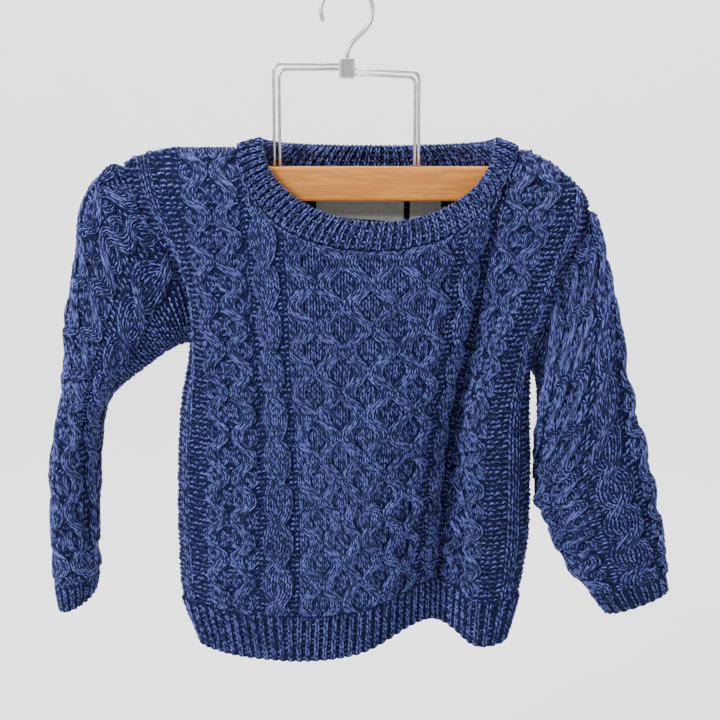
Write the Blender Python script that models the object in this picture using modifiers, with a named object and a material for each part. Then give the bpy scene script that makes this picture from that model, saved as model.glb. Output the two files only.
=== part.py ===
"""Child's aran sweater on a wooden clamp hanger.

Front, back, two drop-shoulder sleeves, a ribbed neckband and two labels are knitted walls, and the
hanger is two wooden slats, four wire legs, a collar and a hook. The origin is where the hook hangs.
X runs to the viewer's right, the garment's front faces -Y, and +Z is up. Sizes are in millimetres
until a mesh is made, and z is negative because everything hangs below the origin.
"""

import math

import bmesh
import bpy
import numpy as np

MM = 0.001
WALL = 2.6  # thickness of the knitted ground, under the cables
SEAM = 0.3  # gap between two sewn pieces
TIE = 1e-7  # settles which of two equal edges comes first
RAISE = 3.6  # how far a cable stands out of its ground
RIB_RAISE = 2.2
SIDE_FADE = 8.0  # cables flatten out over this width towards a seam
TOP_FADE = 12.0
HEM_Z = -556.0
RIB_HEIGHT = 42.0  # welt at the hem
CUFF_HEIGHT = 30.0
HEM_RIB_PITCH = 9.0
CUFF_RIB_PITCH = 7.5
BAND_RIBS = 88
ARMPIT_ROW = 0.64  # share of the way up a side edge where the armhole begins

# Stitch chart of a body panel, in millimetres across the flat cloth from one side seam.
SIDE_BAND = 40.0
WIDE_CABLE = 52.0
ROPE_BLOCK = 39.0  # a 28 mm rope with a 5 mm and a 6 mm gutter
HONEY_CELL = 21.0  # half of one honeycomb cell
HONEY_HALVES = 6
ROPE_GUTTER = 5.0
ROPE = 28.0
PANEL = 2 * (SIDE_BAND + WIDE_CABLE + ROPE_BLOCK) + HONEY_HALVES * HONEY_CELL
NECK_LEFT = SIDE_BAND + WIDE_CABLE
NECK_RIGHT = PANEL - NECK_LEFT
HONEY_LEFT = NECK_LEFT + ROPE_BLOCK
HONEY_RIGHT = PANEL - HONEY_LEFT
CENTRE_RISE = 344.0  # flat height of the middle column, hem to neck
ROWS_ABOVE_ARMPIT = 14
ROWS_BELOW_ARMPIT = 20
ROW_STEP = (1 - ARMPIT_ROW) / ROWS_ABOVE_ARMPIT
ROWS_PER_PERIOD = 4
CORNER_ROOM = 13.0  # the plain inside keeps every column this near a neck corner
HONEY_PERIOD = ROWS_PER_PERIOD * ROW_STEP * CENTRE_RISE
ROPE_CROSSING = HONEY_PERIOD
WIDE_CROSSING = HONEY_PERIOD / 2
ROPE_STRAND = 7.5  # half widths of the strands
WIDE_STRAND = 6.5
HONEY_STRAND = 6.5
HONEY_LEAN = 5.0
SIDE_RIB = 4.5
TWIST = 0.16  # how much a rope strand rises and dips as it passes over and under
WIDE_UNDER = 0.42  # height of the wide cable's lower strands

# Where the chart's main columns hang. One row for each level, from hem to shoulder.
PANEL_COLUMNS = (0.0, SIDE_BAND, NECK_LEFT, HONEY_LEFT, PANEL / 2, HONEY_RIGHT, NECK_RIGHT,
                 PANEL - SIDE_BAND, PANEL)
LEVELS = (-556, -500, -450, -400, -350, -300, -260, -220, -190, -160, -130)
#        left  cable  cable  honey  mid  honey cable  cable  right
#        seam  outer  inner  left         right inner  outer  seam
FRONT_X = (
    (-128, -109, -70, -40, 8, 55, 80, 110, 137),
    (-145, -117, -74, -39, 10, 57, 81, 112, 151),
    (-146, -118, -74, -39, 12, 60, 83, 114, 157),
    (-145, -117, -73, -40, 13, 64, 87, 116, 157),
    (-142, -117, -73, -42, 14, 69, 93, 118, 155),
    (-134, -118, -75, -45, 17, 77, 103, 128, 155),
    (-132, -122, -78, -47, 19, 83, 111, 140, 169),
    (-144, -127, -82, -50, 20, 87, 116, 156, 183),
    (-163, -131, -86, -52, 22, 93, 123, 168, 198),
    (-179, -136, -89, -52, 24, 96, 131, 176, 204),
    (-190, -142, -92, -52, 26, 96, 143, 178, 204),
)
# Forward of the seam plane. The trough at the right inner column is the garment's deepest fold.
FRONT_FORWARD = (
    (0, 32, 50, 55, 47, 16, 2, 30, 0),
    (0, 36, 57, 62, 56, 22, 3, 33, 0),
    (0, 38, 59, 63, 59, 28, 5, 34, 0),
    (0, 38, 58, 62, 60, 32, 8, 36, 0),
    (0, 38, 56, 60, 58, 34, 12, 38, 0),
    (0, 37, 52, 56, 55, 37, 17, 38, 0),
    (0, 34, 45, 50, 50, 38, 20, 36, 0),
    (0, 31, 38, 44, 45, 38, 23, 33, 0),
    (0, 28, 33, 38, 40, 37, 27, 30, 0),
    (0, 24, 28, 33, 34, 33, 27, 24, 0),
    (0, 22, 26, 30, 31, 30, 25, 22, 0),
)
# The back panel: share of the width, then how far it stands behind the seam plane.
BACK_SHARE = (0.0, 0.085, 0.235, 0.33, 0.5, 0.67, 0.765, 0.915, 1.0)
BACK_MEETS_FRONT = (-300.0, -190.0)  # between these heights its columns move to the front's places
BACK_BEHIND = (
    (0, 30, 46, 50, 54, 44, 40, 30, 0),
    (0, 34, 50, 54, 60, 50, 44, 36, 0),
    (0, 36, 50, 52, 62, 56, 50, 38, 0),
    (0, 37, 50, 51, 61, 58, 53, 38, 0),
    (0, 37, 50, 52, 60, 58, 52, 37, 0),
    (0, 35, 48, 52, 56, 54, 49, 36, 0),
    (0, 33, 44, 48, 50, 48, 44, 34, 0),
    (0, 30, 38, 42, 44, 42, 38, 30, 0),
    (0, 27, 33, 36, 38, 36, 33, 27, 0),
    (0, 24, 29, 31, 32, 31, 29, 24, 0),
    (0, 22, 26, 28, 29, 28, 26, 22, 0),
)
# Height of the shoulder line along the chart: across, then z.
SHOULDER_LINE = (
    (0, -145), (20, -135), (40, -129), (NECK_LEFT, -129), (NECK_RIGHT, -131),
    (322, -137), (348, -148), (368, -163), (PANEL, -181),
)
SHOULDER_ROUND = 30.0
SHOULDER_POWER = 0.7
FRONT_NECK_DROP = 82.0
BACK_NECK_DROP = 24.0
HEM_LIFT = {"front": 20.0, "back": 11.0}  # the hem rises at the deep fold
HEM_LIFT_AT = 272.0
HEM_LIFT_WIDTH = 58.0
HEM_LIFT_FADE = 220.0
ARMHOLE_DEPTH = {"left": 15.0, "right": 20.0}
ARMHOLE_POWER = 0.8

# Sleeve rings below the armhole: underarm x, z; top line x, z; half depth; turn of the chart.
SLEEVE_RINGS = {
    "left": (
        (-143, -294, -207, -158, 26, 0.0),
        (-157, -302, -220, -187, 34, 0.0),
        (-174, -315, -225, -221, 40, 0.0),
        (-190, -327, -230, -257, 44, 0.0),
        (-202, -338, -233, -289, 47, 0.0),
        (-210, -349, -237, -321, 48, 0.0),
        (-215, -365, -242, -354, 48, 0.0),
        (-218, -394, -250, -393, 46, 0.0),
        (-220, -433, -252, -432, 43, 0.0),
        (-221, -472, -252, -472, 39, 0.0),
        (-221, -498, -252, -500, 34, 0.0),
        (-224, -514, -249, -526, 30, 0.0),
    ),
    "right": (
        (161, -324, 210, -203, 20, 0.04),
        (163, -346, 216, -228, 24, 0.09),
        (164, -368, 223, -259, 26, 0.13),
        (164, -390, 231, -294, 27, 0.16),
        (164, -411, 239, -329, 27, 0.18),
        (165, -432, 247, -360, 26, 0.2),
        (172, -442, 256, -396, 26, 0.2),
        (178, -456, 263, -426, 25, 0.2),
        (184, -471, 269, -455, 23, 0.2),
        (196, -492, 273, -480, 20, 0.2),
        (213, -513, 275, -497, 17, 0.2),
        (228, -532, 278, -513, 14, 0.2),
    ),
}
SLEEVE_LENGTH = 345.0
SLEEVE_TOP_GIRTH = 330.0
SLEEVE_CUFF_GIRTH = 140.0
SLEEVE_ROPE_HALF = 14.0
SLEEVE_WIDE_AT = 44.0

# Neckband: the free edge is a ring 24 mm inside the neck seam.
BAND_CENTRE_X = 26.0
BAND_HALF_WIDTH = 96.0
BAND_TOP_Z = -123.0
BAND_FRONT_DROP = 66.0
BAND_BACK_DROP = 6.0
BAND_FRONT_DEPTH = 30.0
BAND_BACK_DEPTH = 27.0
BAND_ROLL = 2.5
BAND_ROWS = ((0.22, 1.0), (0.9, 1.0), (1.0, 0.6))  # share of the width, share of the rib height

# Hanger.
BAR_LENGTH = 250.0
BAR_HEIGHT = 28.0
BAR_TOP_Z = -145.0
SLAT_THICKNESS = 9.3
SLAT_SPACE = 3.4  # the wire legs stand between the two slats
SLAT_EDGE = 2.2
WIRE_RADIUS = 1.4
WIRE_BEND = 6.0
BEND_STEPS = 4
LEG_BOTTOM_Z = -170.0
# Each bent wire: place of its leg, height of its corner, height where it meets the collar.
WIRES = {
    "wire_outer_left": (-60.4, -61.5, -61.8),
    "wire_inner_left": (-55.8, -65.8, -65.6),
    "wire_outer_right": (59.2, -68.0, -65.6),
    "wire_inner_right": (56.0, -72.0, -69.6),
}
COLLAR_SIZE = (13.0, 9.0, 16.0)
COLLAR_Z = -65.5
COLLAR_EDGE = 1.5
HOOK_WIRE = 1.9
HOOK_RADIUS = 21.0
HOOK_TIP_TURN = 205.0
HOOK_NECK_TURN = -35.0
HOOK_PULL = 12.0  # how far the S-bend holds on to its first and last direction
HOOK_RISE = 14.0
NODE_GAP = 0.3

# Labels sewn in at the back neck seam: left and right edge, drop at each of them.
LABEL_TOP_Z = -157.0
LABEL_INSET = 5.6  # from the panel's outer face, past its wall, to the middle of the tape
LABEL_THICKNESS = 0.7
LABEL_SAMPLES = 60
LABELS = {
    "label_neck": (-27.0, 48.0, -188.0, -193.5),
    "label_size": (53.0, 80.0, -193.5, -193.0),
}

# Sampling of the sleeves.
SLEEVE_ROWS = 24
SLEEVE_COLUMNS = 30

NAVY = (0.045, 0.075, 0.24)
WOOD = (0.62, 0.36, 0.15)
STEEL = (0.55, 0.55, 0.56)
LABEL_WHITE = (0.80, 0.80, 0.76)


def slopes(knots, values):
    """Slopes of a curve through a table that never overshoots the table."""
    rise = np.diff(values, axis=-1) / np.diff(knots)
    before, after = rise[..., :-1], rise[..., 1:]
    total = before + after
    total = np.where(np.abs(total) < 1e-9, 1.0, total)
    inner = np.where(before * after > 0, 2 * before * after / total, 0.0)
    return np.concatenate([rise[..., :1], inner, rise[..., -1:]], axis=-1)


def smooth(knots, values, at, end_turn=None):
    """Cubic through values (…, k) at `at` (…); end_turn scales the slope at both ends."""
    knots = np.asarray(knots, float)
    values = np.asarray(values, float)
    at = np.clip(at, knots[0], knots[-1])
    values = np.broadcast_to(values, at.shape + values.shape[-1:])
    slope = slopes(knots, values)
    if end_turn is not None:
        slope[..., 0] *= end_turn
        slope[..., -1] *= end_turn
    left = np.clip(np.searchsorted(knots, at, side="right") - 1, 0, len(knots) - 2)
    pick = left[..., None]

    def chosen(table, offset):
        return np.take_along_axis(table, pick + offset, axis=-1)[..., 0]

    step = knots[left + 1] - knots[left]
    u = (at - knots[left]) / step
    return (chosen(values, 0) * (1 + 2 * u) * (1 - u) ** 2
            + chosen(values, 1) * u * u * (3 - 2 * u)
            + chosen(slope, 0) * step * u * (1 - u) ** 2
            + chosen(slope, 1) * step * u * u * (u - 1))


def at_level(table, z):
    """Every column of a level table at each z: shape (…, columns)."""
    by_column = np.asarray(table, float).T
    return smooth(LEVELS, by_column, np.repeat(np.asarray(z)[..., None], len(by_column), -1))


def shoulder_z(s):
    across, height = zip(*SHOULDER_LINE)
    return smooth(across, height, s)


def neck_z(s, drop):
    """Neck edge, a half ellipse hung between the two shoulder points."""
    middle = (NECK_LEFT + NECK_RIGHT) / 2
    u = np.clip((s - middle) / ((NECK_RIGHT - NECK_LEFT) / 2), -1, 1)
    return shoulder_z(s) - drop * np.sqrt(1 - u * u)


def top_z(side, s):
    return neck_z(s, FRONT_NECK_DROP if side == "front" else BACK_NECK_DROP)


def hem_z(side, s):
    return HEM_Z + HEM_LIFT[side] * np.exp(-(((s - HEM_LIFT_AT) / HEM_LIFT_WIDTH) ** 2))


def armhole_depth(hand, z):
    """How far each armhole edge stands off the seam plane at height z."""
    tip = shoulder_z(np.array(0.0 if hand == "left" else PANEL))
    share = (z - HEM_Z) / (tip - HEM_Z)
    up = np.clip((share - ARMPIT_ROW) / (1 - ARMPIT_ROW), 0, 1)
    return ARMHOLE_DEPTH[hand] * np.sin(np.pi * up) ** ARMHOLE_POWER


def panel_point(side, s, z):
    """Point of a body panel's ground surface, for chart column s and height z."""
    s, z = np.broadcast_arrays(np.asarray(s, float), np.asarray(z, float))
    front_x = at_level(FRONT_X, z)
    if side == "front":
        x = smooth(PANEL_COLUMNS, front_x, s, end_turn=0.0)
        depth = at_level(FRONT_FORWARD, z)
    else:
        first, last = front_x[..., :1], front_x[..., -1:]
        like_front = smooth(BACK_MEETS_FRONT, np.array([0.0, 1.0]), z)[..., None]
        back_x = first + (last - first) * np.array(BACK_SHARE)
        x = smooth(PANEL_COLUMNS, back_x + (front_x - back_x) * like_front, s, end_turn=0.0)
        depth = at_level(BACK_BEHIND, z)
    depth = depth.copy()
    depth[..., 0] = armhole_depth("left", z)
    depth[..., -1] = armhole_depth("right", z)
    y = smooth(PANEL_COLUMNS, depth, s, end_turn=1.7)
    below = np.clip((shoulder_z(s) - z) / SHOULDER_ROUND, 0, 1)
    y = y * below ** SHOULDER_POWER
    return np.stack([x, -y if side == "front" else y, z], axis=-1)


def row_z(side, s, v):
    """Height of row v (0 at the hem, 1 at the shoulder or neck) in column s."""
    level = HEM_Z + v * (top_z(side, s) - HEM_Z)
    lift = hem_z(side, s) - HEM_Z
    return level + lift * np.exp(-(level - HEM_Z) / HEM_LIFT_FADE) * (1 - v)


def panel_grid_point(side, s, v):
    s, v = np.broadcast_arrays(np.asarray(s, float), np.asarray(v, float))
    return panel_point(side, s, row_z(side, s, v))


def unit(vectors):
    length = np.linalg.norm(vectors, axis=-1, keepdims=True)
    return vectors / np.maximum(length, 1e-9)


def surface_normals(point, a, b, step_a, step_b, low_b, high_b, inside):
    """Outward normals of a surface point(a, b), away from the middle point `inside`."""
    across = point(a + step_a, b) - point(a - step_a, b)
    upper = np.minimum(b + step_b, high_b)
    lower = np.maximum(b - step_b, low_b)
    along = point(a, upper) - point(a, lower)
    normal = unit(np.cross(across, along))
    side = np.sum(normal * (point(a, b) - inside), axis=-1, keepdims=True)
    return np.where(np.median(side) < 0, -normal, normal)


# Cable reliefs, as a share of RAISE over the purl ground.

def ridge(distance, half_width):
    """Rounded back of one strand."""
    return np.sqrt(np.clip(1 - (distance / half_width) ** 2, 0, 1))


def rope_relief(c, t):
    """Two strands that cross every ROPE_CROSSING; the one that leans outward lies on top."""
    turn = np.pi * t / ROPE_CROSSING
    swing = (ROPE / 2 - ROPE_STRAND) * np.cos(turn)
    dip = TWIST * np.sin(turn)
    first = (1 - TWIST - dip) * ridge(c - swing, ROPE_STRAND)
    return np.maximum(first, (1 - TWIST + dip) * ridge(c + swing, ROPE_STRAND))


def wide_relief(c, t):
    """Two mirrored cables whose upper strands draw a chain of rings."""
    half = np.abs(c) - WIDE_CABLE / 4
    swing = (WIDE_CABLE / 4 - WIDE_STRAND) * np.cos(np.pi * t / WIDE_CROSSING)
    return np.maximum(ridge(half - swing, WIDE_STRAND), WIDE_UNDER * ridge(half + swing, WIDE_STRAND))


def honey_relief(c, t):
    """Strands that lean together and apart in turn, so that they close round cells."""
    strand = np.floor(c / HONEY_CELL)
    centre = (strand + 0.5) * HONEY_CELL
    lean = np.where(strand % 2 == 0, 1.0, -1.0) * np.cos(2 * np.pi * t / HONEY_PERIOD)
    return ridge(c - centre - HONEY_LEAN * lean, HONEY_STRAND)


def side_relief(c):
    """A slim rib in the side band."""
    return 0.5 * ridge(c - SIDE_BAND / 2, SIDE_RIB)


def body_relief(s, t):
    mirrored = np.minimum(s, PANEL - s)
    relief = side_relief(mirrored)
    wide_c = mirrored - (SIDE_BAND + WIDE_CABLE / 2)
    relief = np.where(np.abs(wide_c) < WIDE_CABLE / 2, wide_relief(wide_c, t), relief)
    rope_c = mirrored - (NECK_LEFT + ROPE_GUTTER + ROPE / 2)
    relief = np.where((mirrored > NECK_LEFT) & (mirrored < HONEY_LEFT), rope_relief(rope_c, t), relief)
    return np.where(mirrored >= HONEY_LEFT, honey_relief(s - HONEY_LEFT, t), relief)


def sleeve_relief(c, t):
    middle = np.abs(c)
    relief = np.where(middle < SLEEVE_ROPE_HALF, rope_relief(c, t), 0.0)
    wide_c = middle - SLEEVE_WIDE_AT
    relief = np.where(np.abs(wide_c) < WIDE_CABLE / 2 - 2, wide_relief(wide_c, t), relief)
    outer_c = middle - (SLEEVE_WIDE_AT + WIDE_CABLE / 2 + 18)
    return np.where(np.abs(outer_c) < SLEEVE_ROPE_HALF, rope_relief(outer_c, t), relief)


def rib_relief(count_across):
    """Ribs and gutters in turn over a row whose points are half a rib apart."""
    return np.where(np.arange(count_across) % 2 == 0, 0.0, RIB_RAISE)


# Walls: rows of points joined into one closed mesh.

class Wall:
    """Collects rows of points and the strips of triangles between them."""

    def __init__(self):
        self.points = []
        self.faces = []

    def row(self, points):
        first = len(self.points)
        self.points.extend(np.asarray(points).tolist())
        return list(range(first, len(self.points)))

    def quads(self, low, high):
        """Triangles between two rows of like points, along the shorter diagonals."""
        for k in range(len(low) - 1):
            a, b, c, d = low[k], low[k + 1], high[k + 1], high[k]
            rising = math.dist(self.points[a], self.points[c])
            falling = math.dist(self.points[b], self.points[d])
            if rising < falling:
                self.faces += [(a, b, c), (a, c, d)]
            else:
                self.faces += [(a, b, d), (b, c, d)]

    def strip(self, low, high, low_at, high_at):
        """Triangles between two rows of unlike counts, in the order of their edges' middles."""
        i = j = 0
        while i < len(low) - 1 or j < len(high) - 1:
            low_middle = low_at[i] + low_at[i + 1] if i < len(low) - 1 else math.inf
            high_middle = high_at[j] + high_at[j + 1] if j < len(high) - 1 else math.inf
            if low_middle <= high_middle:
                self.faces.append((low[i], low[i + 1], high[j]))
                i += 1
            else:
                self.faces.append((low[i], high[j + 1], high[j]))
                j += 1

    def ladder(self, rows, shares):
        for k in range(len(rows) - 1):
            if np.array_equal(shares[k], shares[k + 1]):
                self.quads(rows[k], rows[k + 1])
            else:
                self.strip(rows[k], rows[k + 1], shares[k], shares[k + 1])

    def edge(self, outer, inner, outer_at, inner_at):
        self.strip(outer, inner, outer_at, inner_at)

    def build(self, name, material, collection):
        mesh = bpy.data.meshes.new(name)
        mesh.from_pydata([tuple(c * MM for c in point) for point in self.points], [], self.faces)
        shape = bmesh.new()
        shape.from_mesh(mesh)
        bmesh.ops.recalc_face_normals(shape, faces=shape.faces)
        shape.to_mesh(mesh)
        shape.free()
        mesh.shade_smooth()
        mesh.materials.append(material)
        made = bpy.data.objects.new(name, mesh)
        collection.objects.link(made)
        return made


def even(count):
    return np.linspace(0.0, 1.0, count)


def body_columns():
    """Chart columns that catch each gutter and strand of the cables."""
    side = [0, 11, 20, 29, 40]
    wide = [44, 52, 60, 66, 72, 80, 88, 92]
    rope = [94, 97, 104, 111, 118, 125]
    half = side + wide + rope
    honey = list(HONEY_LEFT + np.arange(0, 19) * HONEY_CELL / 3)
    return np.array(half + honey + [PANEL - s for s in reversed(half)], float)


def body_row_shares():
    """Rows of a panel: three up the welt, then even ones with one on the armpit."""
    welt = RIB_HEIGHT / (SHOULDER_LINE[2][1] - HEM_Z)
    body = ARMPIT_ROW + ROW_STEP * np.arange(-ROWS_BELOW_ARMPIT, ROWS_ABOVE_ARMPIT + 1)
    return np.array([0.0, welt * 0.5, welt]), body


def inner_columns():
    """Every second column, and all of those near the neck's two corners, for the plain inside."""
    columns = body_columns()
    from_corner = np.minimum(np.abs(columns - NECK_LEFT), np.abs(columns - NECK_RIGHT))
    keep = from_corner < CORNER_ROOM
    keep[::2] = True
    keep[-1] = True
    return columns[keep]


def inner_row_shares():
    """Every third row, with the armpit and the top, for the plain inside."""
    welt, body = body_row_shares()
    return np.concatenate([[0.0, welt[-1]], body[2::3]])


def armhole_shares(rows):
    """Places round an armhole where the rows of both panels end."""
    up = (rows[rows >= ARMPIT_ROW - 1e-6] - ARMPIT_ROW) / (1 - ARMPIT_ROW)
    return np.concatenate([up / 2, 1 - up[::-1][1:-1] / 2])


def neck_shares(columns):
    """Places round the neck where the columns of both panels end, even round it and even in the chart."""
    part = (columns - NECK_LEFT) / (NECK_RIGHT - NECK_LEFT)
    part = part[(part > -1e-6) & (part < 1 + 1e-6)]
    pace = np.arccos(1 - 2 * np.clip(part, 0, 1)) / np.pi
    round_it = np.concatenate([pace / 2, 1 - pace[::-1][1:-1] / 2])
    in_chart = np.concatenate([part / 2, 1 - part[::-1][1:-1] / 2])
    return round_it, in_chart


def panel_normals(side, s, v):
    def point(a, b):
        return panel_grid_point(side, np.clip(a, 0, PANEL), b)

    away = np.array([10.0, 0.0, -350.0])
    s, v = np.broadcast_arrays(np.asarray(s, float), np.asarray(v, float))
    normal = surface_normals(point, s, v, 1.5, 0.004, 0.0, 1.0, away)
    flat = (s <= 0.01) | (s >= PANEL - 0.01) | ((v > 0.999) & ((s <= NECK_LEFT) | (s >= NECK_RIGHT)))
    normal[flat, 1] = 0.0
    return unit(normal)


def fade(distance, width):
    return np.clip(distance / width, 0, 1)


def armhole_ring(hand, w):
    """Armhole seam at share w round it: 0 at the underarm, 0.25 front, 0.5 shoulder, 0.75 back."""
    s = 0.0 if hand == "left" else PANEL
    w = np.asarray(w, float) % 1.0
    up = np.where(w <= 0.5, 2 * w, 2 - 2 * w)
    v = ARMPIT_ROW + (1 - ARMPIT_ROW) * up
    front = panel_grid_point("front", s, v)
    back = panel_grid_point("back", s, v)
    return np.where((w <= 0.5)[..., None], front, back)


def sleeve_rings(hand, w):
    """Rings of the sleeve below the armhole, an oval between underarm and top line."""
    turn = 2 * np.pi * np.asarray(w, float)
    rings = []
    for inner_x, inner_z, outer_x, outer_z, half_depth, _ in SLEEVE_RINGS[hand]:
        along = (1 - np.cos(turn)) / 2
        x = inner_x + (outer_x - inner_x) * along
        z = inner_z + (outer_z - inner_z) * along
        y = -half_depth * np.sign(np.sin(turn)) * np.abs(np.sin(turn)) ** 0.85
        rings.append(np.stack([x, y, z], axis=-1))
    return np.array(rings)


def sleeve_point(hand, w, v):
    """Point of a sleeve's ground surface: w round it, v from armhole (0) to cuff (1)."""
    w, v = np.broadcast_arrays(np.asarray(w, float), np.asarray(v, float))
    seam = armhole_ring(hand, w)
    rings = sleeve_rings(hand, w)
    stack = np.concatenate([seam[None], rings], axis=0)
    shares = even(len(stack))
    table = np.moveaxis(stack, 0, -1)
    return smooth(shares, table, np.repeat(v[..., None], 3, axis=-1))


def sleeve_normals(hand, w, v):
    def point(a, b):
        return sleeve_point(hand, a, b)

    w, v = np.broadcast_arrays(np.asarray(w, float), np.asarray(v, float))
    across = point(w + 0.004, v) - point(w - 0.004, v)
    along = point(w, np.minimum(v + 0.01, 1)) - point(w, np.maximum(v - 0.01, 0))
    normal = unit(np.cross(across, along))
    middle = point(w + 0.5, v)
    outward = np.sum(normal * (point(w, v) - middle))
    return normal if outward > 0 else -normal


def sleeve_girth(v):
    """Flat width round the sleeve, from armhole to cuff."""
    return SLEEVE_TOP_GIRTH + (SLEEVE_CUFF_GIRTH - SLEEVE_TOP_GIRTH) * v ** 0.8


def sleeve_chart(hand, w, v):
    """Chart place of a sleeve point: across from the cable's middle, and up from the cuff."""
    turns = [0.0] + [row[5] for row in SLEEVE_RINGS[hand]]
    turn = smooth(even(len(turns)), np.array(turns), v)
    c = ((w + turn) % 1.0 - 0.5) * sleeve_girth(v)
    return c, (1 - v) * SLEEVE_LENGTH


def armhole_directions(hand, w):
    """Wall direction on the armhole seam, shared by panel and sleeve, and the way to the sleeve."""
    s = 0.0 if hand == "left" else PANEL
    w = np.asarray(w, float)
    up = np.where(w <= 0.5, 2 * w, 2 - 2 * w)
    v = ARMPIT_ROW + (1 - ARMPIT_ROW) * up
    front = panel_normals("front", np.full_like(w, s), np.minimum(v, 0.98))
    back = panel_normals("back", np.full_like(w, s), np.minimum(v, 0.98))
    body = np.where((w <= 0.5)[..., None], front, back)
    sleeve = sleeve_normals(hand, w, np.full_like(w, 0.02))
    tangent = unit(armhole_ring(hand, w + 0.01) - armhole_ring(hand, w - 0.01))
    wall = unit(body + sleeve)
    wall = unit(wall - tangent * np.sum(wall * tangent, axis=-1, keepdims=True))
    onward = np.cross(tangent, wall)
    away = 1.0 if hand == "right" else -1.0
    onward *= np.sign(away * np.mean(onward[..., 0]))
    return wall, onward


def neck_ring(share):
    """Neck seam at share round it: 0 at the left shoulder, front first, back to the left."""
    share = np.asarray(share, float) % 1.0
    forth = share <= 0.5
    s = np.where(forth, NECK_LEFT + (NECK_RIGHT - NECK_LEFT) * neck_pace(2 * share),
                 NECK_RIGHT - (NECK_RIGHT - NECK_LEFT) * neck_pace(2 * share - 1))
    front = panel_grid_point("front", s, 1.0)
    back = panel_grid_point("back", s, 1.0)
    return s, np.where(forth[..., None], front, back)


def neck_pace(u):
    """Even steps round the curved neck edge."""
    return (1 - np.cos(np.pi * np.clip(u, 0, 1))) / 2


def band_edge(share):
    """Free edge of the neckband."""
    turn = np.pi * (1 + 2 * (np.asarray(share, float) % 1.0))
    down = np.abs(np.sin(turn))
    forth = (np.asarray(share, float) % 1.0) <= 0.5
    z = BAND_TOP_Z - np.where(forth, BAND_FRONT_DROP, BAND_BACK_DROP) * down
    y = np.where(forth, -BAND_FRONT_DEPTH, BAND_BACK_DEPTH) * down ** 0.55
    return np.stack([BAND_CENTRE_X + BAND_HALF_WIDTH * np.cos(turn), y, z], axis=-1)


def band_point(share, v):
    """Point of the neckband's ground: v runs from the neck seam to the free edge."""
    share, v = np.broadcast_arrays(np.asarray(share, float), np.asarray(v, float))
    _, low = neck_ring(share)
    high = band_edge(share)
    middle = np.array([BAND_CENTRE_X, 0.0, 0.0])
    out = unit((low - middle) * np.array([1.0, 1.0, 0.0]))
    bulge = BAND_ROLL * np.sin(np.pi * v)[..., None]
    return low + (high - low) * v[..., None] + out * bulge


def band_normals(share, v):
    across = band_point(share + 0.004, v) - band_point(share - 0.004, v)
    along = band_point(share, np.minimum(v + 0.05, 1)) - band_point(share, np.maximum(v - 0.05, 0))
    normal = unit(np.cross(across, along))
    hub = np.array([BAND_CENTRE_X, 0.0, -260.0])
    outward = np.sum(normal * (band_point(share, v) - hub))
    return normal if outward > 0 else -normal


def neck_directions(share):
    """Wall direction on the neck seam, shared by panel and band, and the way to the band."""
    share = np.asarray(share, float)
    s, _ = neck_ring(share)
    forth = (share % 1.0) <= 0.5
    front = panel_normals("front", s, np.full_like(s, 0.985))
    back = panel_normals("back", s, np.full_like(s, 0.985))
    body = np.where(forth[..., None], front, back)
    band = band_normals(share, np.full_like(s, 0.1))
    tangent = unit(neck_ring(share + 0.004)[1] - neck_ring(share - 0.004)[1])
    corner = np.abs(share % 0.5) < 1e-6
    tangent[corner] = (0.0, 1.0, 0.0)
    wall = unit(body + band)
    wall = unit(wall - tangent * np.sum(wall * tangent, axis=-1, keepdims=True))
    onward = np.cross(tangent, wall)
    inward = np.array([BAND_CENTRE_X, 0.0, -130.0]) - neck_ring(share)[1]
    onward *= np.sign(np.sum(onward * inward, axis=-1, keepdims=True))
    return wall, onward


def panel_rows(side, columns, shares):
    """Ground points and wall directions of panel rows, with the seams' shared directions."""
    rows = []
    gap = -SEAM / 2 if side == "front" else SEAM / 2
    for v in shares:
        v_row = np.full_like(columns, v)
        points = panel_grid_point(side, columns, v_row)
        normals = panel_normals(side, columns, v_row)
        if v >= ARMPIT_ROW - 1e-9:
            up = (v - ARMPIT_ROW) / (1 - ARMPIT_ROW)
            w = np.array([up / 2 if side == "front" else 1 - up / 2])
            normals[0] = armhole_directions("left", w)[0][0]
            normals[-1] = armhole_directions("right", w)[0][0]
        if v > 0.9999:
            half = (columns - NECK_LEFT) / (NECK_RIGHT - NECK_LEFT)
            on_neck = (half > -1e-9) & (half < 1 + 1e-9)
            pace = np.arccos(1 - 2 * np.clip(half[on_neck], 0, 1)) / np.pi
            share = pace / 2 if side == "front" else 1 - pace / 2
            normals[on_neck] = neck_directions(share)[0]
        seam_points = np.abs(points[:, 1]) < abs(gap)
        normals[seam_points, 1] = 0.0
        points[:, 1] += gap
        rows.append((points, unit(normals)))
    return rows


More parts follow.
